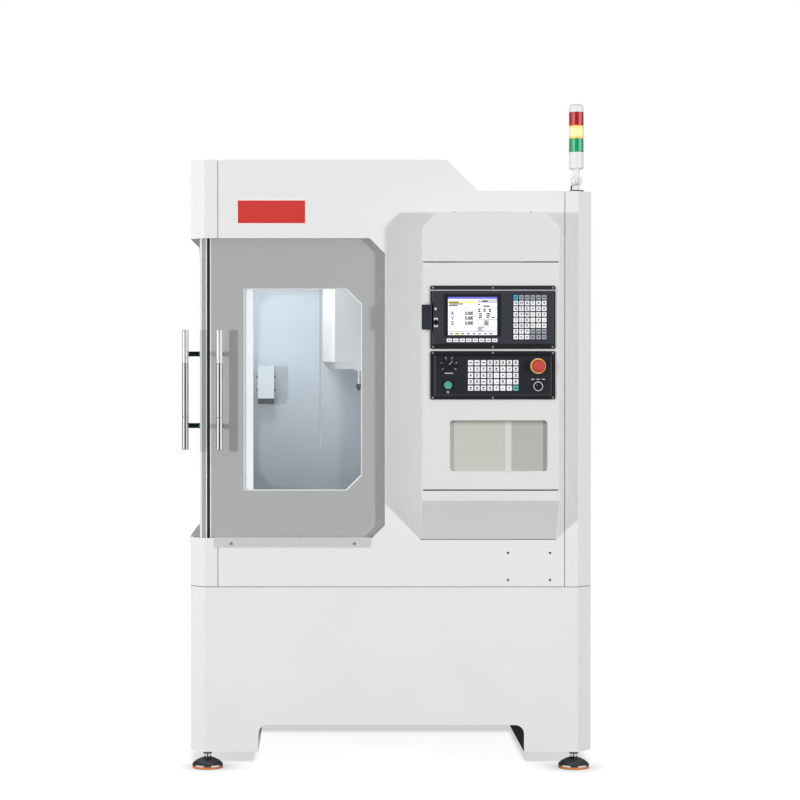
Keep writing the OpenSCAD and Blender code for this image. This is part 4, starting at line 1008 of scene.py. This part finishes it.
keyFront = capFront - prints["lift"]
keyMarks = []
for name, corner in (("entry", upperUnit), ("operation", lowerUnit), ("soft", upperUnit)):
    field = keyFields[name]
    for rowNumber, row in enumerate(reversed(keyRows[name])):
        for columnNumber, kind in enumerate(row):
            x = corner[0] + field["x"] + columnNumber * field["pitchX"] + field["keyX"] / 2
            z = corner[1] + field["z"] + rowNumber * field["pitchZ"] + field["keyZ"] / 2
            keyMarks += markKey(kind, Vector((x, keyFront, z)), field["keyX"], field["keyZ"])
joinMarks("key_marks", keyMarks, "cabinet", prints["keyInk"])


# bars, axis letters and values on the screen
screenText = {
    "rows": [("X", 0.568), ("Y", 0.44), ("Z", 0.31)],  # axis and height on the page
    "letterAt": 0.09,
    "valueAt": 0.43,
    "size": 0.0145,
    "valueWidth": 0.8,
    "barGrow": 1.4,  # bars are drawn this much higher than listed
}
screenBars = [  # left, right, low and high edges as parts of the page
    (0.02, 0.22, 0.852, 0.873), (0.02, 0.31, 0.805, 0.825), (0.02, 0.2, 0.762, 0.782), (0.7, 0.81, 0.875, 0.9),
    (0.61, 0.655, 0.79, 0.81), (0.72, 0.85, 0.745, 0.77), (0.63, 0.695, 0.545, 0.568), (0.78, 0.86, 0.545, 0.568),
    (0.63, 0.695, 0.495, 0.517), (0.78, 0.86, 0.495, 0.517), (0.62, 0.695, 0.448, 0.47), (0.78, 0.84, 0.448, 0.47),
    (0.88, 0.957, 0.448, 0.47), (0.61, 0.73, 0.2, 0.214), (0.61, 0.69, 0.16, 0.174), (0.61, 0.72, 0.12, 0.134),
]
screenBars += [(u, u + 0.05, v, v + 0.022) for u in (0.61, 0.72, 0.83) for v in (0.612, 0.655)]
screenBars += [(0.745, 0.815, v, v + 0.018) for v in (0.255, 0.29, 0.325, 0.36)]
screenBars += [(0.04 + step * 0.115, 0.1 + step * 0.115, 0.025, 0.045) for step in range(8)]
screenLow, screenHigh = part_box("screen")
screenSize = screenHigh - screenLow


def onScreen(u, v):
    return Vector((screenLow.x + u * screenSize.x, screenLow.y - prints["lift"], screenLow.z + v * screenSize.z))


pageMarks = []
for left, right, low, high in screenBars:
    centre = onScreen((left + right) / 2, (low + high) / 2)
    width = (right - left) * screenSize.x
    height = (high - low) * screenText["barGrow"] * screenSize.z
    pageMarks.append(copyBlank(barBlank, centre, width, height))
axisMarks = []
for letter, v in screenText["rows"]:
    centre = onScreen(screenText["valueAt"], v)
    pageMarks.append(addLetter("0.000", centre, screenText["size"], screenText["valueWidth"]))
    axisMarks.append(addLetter(letter, onScreen(screenText["letterAt"], v), screenText["size"]))
joinMarks("screen_marks", pageMarks, "cabinet", prints["screenInk"])
joinMarks("axis_letters", axisMarks, "cabinet", prints["axisInk"])


# marks round the dial, the switches and the stop
panelPrints = {  # bars as width and height
    "dialBar": (0.026, 0.0026),
    "dialBarRise": -0.0262,
    "tick": (0.0009, 0.0036),
    "tickReach": 0.0184,
    "tickTurns": (-125, -75, -25, 25, 75, 125),
    "numberReach": 0.0241,
    "numberSize": 0.0056,
    "numberStep": 2,
    "switchBar": (0.0095, 0.0024),
    "switchBarRise": 0.0217,
    "switchBarPlaces": (-0.016, 0.0, 0.017),
    "startSize": 0.009,
    "startRise": -0.0222,
    "drop": (0.007, 0.0082),
    "dropPlace": (0.132, 1.4452),
    "dropLift": 0.0004,
}
panelFront = keyFront + unitPlaces["keyStep"]


def onPanel(name):
    x, z = onUnit(lowerUnit, name)
    return Vector((x, panelFront, z))


def dialMarks():
    centre = onPanel("dial")
    marks = [copyBlank(barBlank, above(centre, panelPrints["dialBarRise"]), *panelPrints["dialBar"])]
    for step, degrees in enumerate(panelPrints["tickTurns"]):
        turn = radians(degrees)
        away = Vector((sin(turn), 0, cos(turn)))
        number = str(step * panelPrints["numberStep"])
        marks.append(copyBlank(barBlank, centre + away * panelPrints["tickReach"], *panelPrints["tick"], turn))
        marks.append(addLetter(number, centre + away * panelPrints["numberReach"], panelPrints["numberSize"]))
    return marks


panelMarks = dialMarks()
for x in panelPrints["switchBarPlaces"]:
    centre = onPanel("switch") + Vector((x, 0, panelPrints["switchBarRise"]))
    panelMarks.append(copyBlank(barBlank, centre, *panelPrints["switchBar"]))
panelMarks.append(addLetter("O", above(onPanel("start"), panelPrints["startRise"]), panelPrints["startSize"]))
dropX, dropZ = panelPrints["dropPlace"]
dropAt = Vector((cabinetCentre.x + dropX, panelFront - panelPrints["dropLift"], dropZ))
panelMarks.append(copyBlank(dropBlank, dropAt, *panelPrints["drop"]))
joinMarks("panel_marks", panelMarks, "cabinet", prints["panelInk"])
for blank in (barBlank, arrowBlank, dropBlank):
    bpy.data.objects.remove(blank)


# rubber ring round the foot of the signal tower
gasket = {
    "place": (0.586, -0.55, 1.8246),
    "radius": 0.0238,
    "height": 0.0052,
    "width": 0.0138,
    "edge": 0.0012,
    "sides": 64,
    "smooth": 35,  # degrees
}


def roundRims(piece, width, segments):
    rim = piece.modifiers.new("rim", "BEVEL")
    rim.width = width
    rim.segments = segments
    bpy.ops.object.modifier_apply(modifier="rim")


def makeGasket():
    deselectAll()
    centre = cabinetCentre + Vector(gasket["place"])
    bpy.ops.mesh.primitive_cylinder_add(vertices=gasket["sides"], radius=gasket["radius"], depth=gasket["height"],
                                        end_fill_type="NOTHING", location=centre)
    ring = bpy.context.object
    ring.name = "tower_gasket"
    bpy.ops.object.transform_apply(location=True, rotation=True, scale=True)
    wall = ring.modifiers.new("wall", "SOLIDIFY")
    wall.thickness = gasket["width"]
    wall.offset = -1
    bpy.ops.object.modifier_apply(modifier="wall")
    roundRims(ring, gasket["edge"], 3)
    bpy.ops.object.shade_smooth_by_angle(angle=radians(gasket["smooth"]))
    ring.data.materials.append(finishes["black_rubber"])
    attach(ring, "cabinet")


makeGasket()
print("gasket made")


# dark slab under the cover box, standing in as painted shade for the box's shadow
boxShadowSlab = {
    "inset": 0.0015,
    "setBack": 0.002,
    "height": 0.0195,
    "edge": 0.001,
    "look": {"colour": linear(18, 25, 35), "grain": 500, "rough": 0.6, "bump": 0.05, "spread": 0.05},
}
boxLow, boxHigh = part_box("cover_box")


def makeBoxShadowSlab():
    inset = boxShadowSlab["inset"]
    low = (boxLow.x + inset, boxLow.y + boxShadowSlab["setBack"], boxLow.z - boxShadowSlab["height"])
    high = (boxHigh.x - inset, boxHigh.y, boxLow.z)
    paint = finish("box_shadow_slab_paint", boxShadowSlab["look"])
    addSlab("box_shadow_slab", low, high, boxShadowSlab["edge"], "cabinet", paint)


makeBoxShadowSlab()
# made: the dark slab of painted shade under the cover box
print("cable plate made")


# round screw heads on both sides of the cover box
boxScrew = {
    "radius": 0.0042,
    "height": 0.0055,
    "edge": 0.001,
    "socket": 0.0018,
    "sink": 0.0016,
    "sides": 24,
    "levels": (0.25, 0.66),  # parts of the box's height
    "colour": linear(58, 62, 70),
}


def makeBoxScrew():
    deselectAll()
    bpy.ops.mesh.primitive_cylinder_add(vertices=boxScrew["sides"], radius=boxScrew["radius"],
                                        depth=boxScrew["height"], rotation=(0, pi / 2, 0))
    head = bpy.context.object
    bpy.ops.object.transform_apply(location=True, rotation=True, scale=True)
    roundRims(head, boxScrew["edge"], 2)
    bpy.ops.object.mode_set(mode="EDIT")
    bpy.ops.mesh.select_mode(type="FACE")
    bpy.ops.mesh.select_all(action="DESELECT")
    bpy.ops.object.mode_set(mode="OBJECT")
    for face in head.data.polygons:
        face.select = abs(face.normal.x) > 0.95  # both flat ends
    bpy.ops.object.mode_set(mode="EDIT")
    bpy.ops.mesh.inset(thickness=boxScrew["socket"])
    bpy.ops.mesh.extrude_region_shrink_fatten(TRANSFORM_OT_shrink_fatten={"value": -boxScrew["sink"]})
    bpy.ops.object.mode_set(mode="OBJECT")
    return head


def placeBoxScrews():
    first = makeBoxScrew()
    middle = (boxLow.y + boxHigh.y) / 2
    reach = boxScrew["height"] / 2
    heads = []
    for across in (boxLow.x - reach, boxHigh.x + reach):
        for level in boxScrew["levels"]:
            height = boxLow.z + level * (boxHigh.z - boxLow.z)
            heads.append(settle(duplicate(first), Vector((across, middle, height)), (1, 1, 1)))
    bpy.data.objects.remove(first)
    joinMarks("box_screws", heads, "cabinet", boxScrew["colour"])


placeBoxScrews()


# studio: white floor and backdrop, a lamp on each side, one for the left edge and two in the cabin
studio = {
    "ambient": 0.54,
    "mirror": 1.6,
    "floorGlow": 0.93,
    "floorTone": 0.3,
    "shade": 0.36,  # how much darker the floor is right under the machine
    "footRadius": 0.0485,
    "footShade": 0.19,
    "legShade": (-0.415, -0.34),  # depths between which the shade under the legs grows
    "legEdge": 0.02,
    "bayShade": (0.14, 0.25),  # and between which the shade in the bay grows
    "sideFade": 0.06,
    "backFade": 0.4,
    "floorSize": 40,
    "lamps": [
        {"name": "leftLamp", "place": (-4.7, -5.3, 1.45), "aim": (0, 0, 1.1), "size": 0.4, "power": 185},
        {"name": "rightLamp", "place": (4.7, -5.3, 1.45), "aim": (0, 0, 1.1), "size": 0.4, "power": 185},
        {"name": "edgeLamp", "place": (-4.5, -0.1, 2.9), "aim": (-0.6, -0.5, 1.7), "size": 0.6, "power": 60},
        {"name": "cabinLamp", "place": (-0.42, -0.28, 1.66), "aim": (-0.2, 0.0, 1.35), "size": 0.25, "power": 2.4},
        {"name": "fillLamp", "place": (0.15, -0.35, 1.0), "aim": (-0.05, 0.2, 1.1), "size": 0.4, "power": 1.7},
    ],
    "darkBands": [(0.0, 0.16), (0.54, 1.0)],  # parts of the half turn from the front that mirrors see dark
    "darkTop": 0.5,  # and everything above this slope
    "darkTone": 0.06,
}


def addLamp(lamp):
    data = bpy.data.lights.new(lamp["name"], "AREA")
    data.shape = "DISK"
    data.size = lamp["size"]
    data.energy = lamp["power"]
    light = bpy.data.objects.new(lamp["name"], data)
    light.visible_glossy = False
    light.visible_camera = False
    light.location = lamp["place"]
    aim = Vector(lamp["aim"]) - light.location
    light.rotation_euler = aim.to_track_quat("-Z", "Y").to_euler()
    bpy.context.scene.collection.objects.link(light)


def seenRays(place):  # camera, mirror and glass rays see the white studio
    rays = place.node("LightPath").socket.node.outputs
    camera = Wire(place.tree, rays["Is Camera Ray"])
    glossy = Wire(place.tree, rays["Is Glossy Ray"])
    through = Wire(place.tree, rays["Is Transmission Ray"])
    return camera.math("MAXIMUM", camera.math("MAXIMUM", camera, glossy), through)


def makeWorld():
    world = bpy.data.worlds.new("whiteStudio")
    world.use_nodes = True
    bpy.context.scene.world = world
    tree = world.node_tree
    back = tree.nodes["Background"]
    back.inputs["Color"].default_value = (1, 1, 1, 1)
    start = Wire(tree, tree.nodes.new("ShaderNodeTexCoord").outputs["Generated"])
    east, north, up = start.axes()
    level = start.math("SQRT", east * east + north * north) + 0.0001  # never zero
    facing = start.math("MINIMUM", start.math("MAXIMUM", north / level * -1, -1.0), 1.0)
    turn = start.math("ARCCOSINE", facing) / pi
    dark = up > studio["darkTop"]
    for low, high in studio["darkBands"]:
        dark = dark.math("MAXIMUM", dark, turn.within(low, high))
    mirror = Wire(tree, start.node("LightPath").socket.node.outputs["Is Glossy Ray"])
    ambient = studio["ambient"]
    seen = seenRays(start) * (1 - ambient) + ambient
    bright = mirror * (studio["mirror"] - 1) + 1
    feed(back.inputs["Strength"], seen * bright * (1 - mirror * dark * (1 - studio["darkTone"])))


def rampUp(value, span):
    part = ((value - span[0]) / (span[1] - span[0])).clamp()
    return part * part


def floorShade(place):  # soft shadows round the feet and, towards the back, under the base
    across, depth, height = place.axes()
    low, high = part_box("levelling_feet")
    middle = (low + high) / 2
    radius = studio["footRadius"]
    side = across.math("ABSOLUTE", across - middle.x)
    right = side - (high.x - middle.x - radius)
    back = depth.math("ABSOLUTE", depth - middle.y) - (high.y - middle.y - radius)
    reach = across.math("SQRT", right * right + back * back)
    feet = rampUp(reach, (studio["footShade"], radius))
    half = baseLook["bayWidth"] / 2
    legs = rampUp(depth, studio["legShade"]) * rampUp(side, (half, half + studio["legEdge"]))
    base = legs.math("MAXIMUM", legs, rampUp(depth, studio["bayShade"]))
    edge = high.x - middle.x
    base = base * rampUp(side, (edge + studio["sideFade"], edge))
    base = base * rampUp(depth, (high.y + studio["backFade"], high.y))
    return feet.math("MAXIMUM", feet, base) * studio["shade"]


def makeFloor():
    deselectAll()
    bpy.ops.mesh.primitive_plane_add(size=studio["floorSize"], location=(0, 0, 0))
    floor = bpy.context.object
    floor.name = "floor"
    material, sockets, place = startMaterial("studio_floor")
    tone = studio["floorTone"]
    feed(sockets["Base Color"], (tone, tone, tone, 1))
    sockets["Roughness"].default_value = 0.9
    sockets["Specular IOR Level"].default_value = 0.0
    feed(sockets["Emission Color"], floorShade(place).blend((1, 1, 1, 1), (0, 0, 0, 1)))
    feed(sockets["Emission Strength"], seenRays(place) * studio["floorGlow"])
    floor.data.materials.append(material)
    floor.visible_glossy = False  # mirrors see the world's bands below the horizon too


for lamp in studio["lamps"]:
    addLamp(lamp)
makeWorld()
makeFloor()
print("studio made")
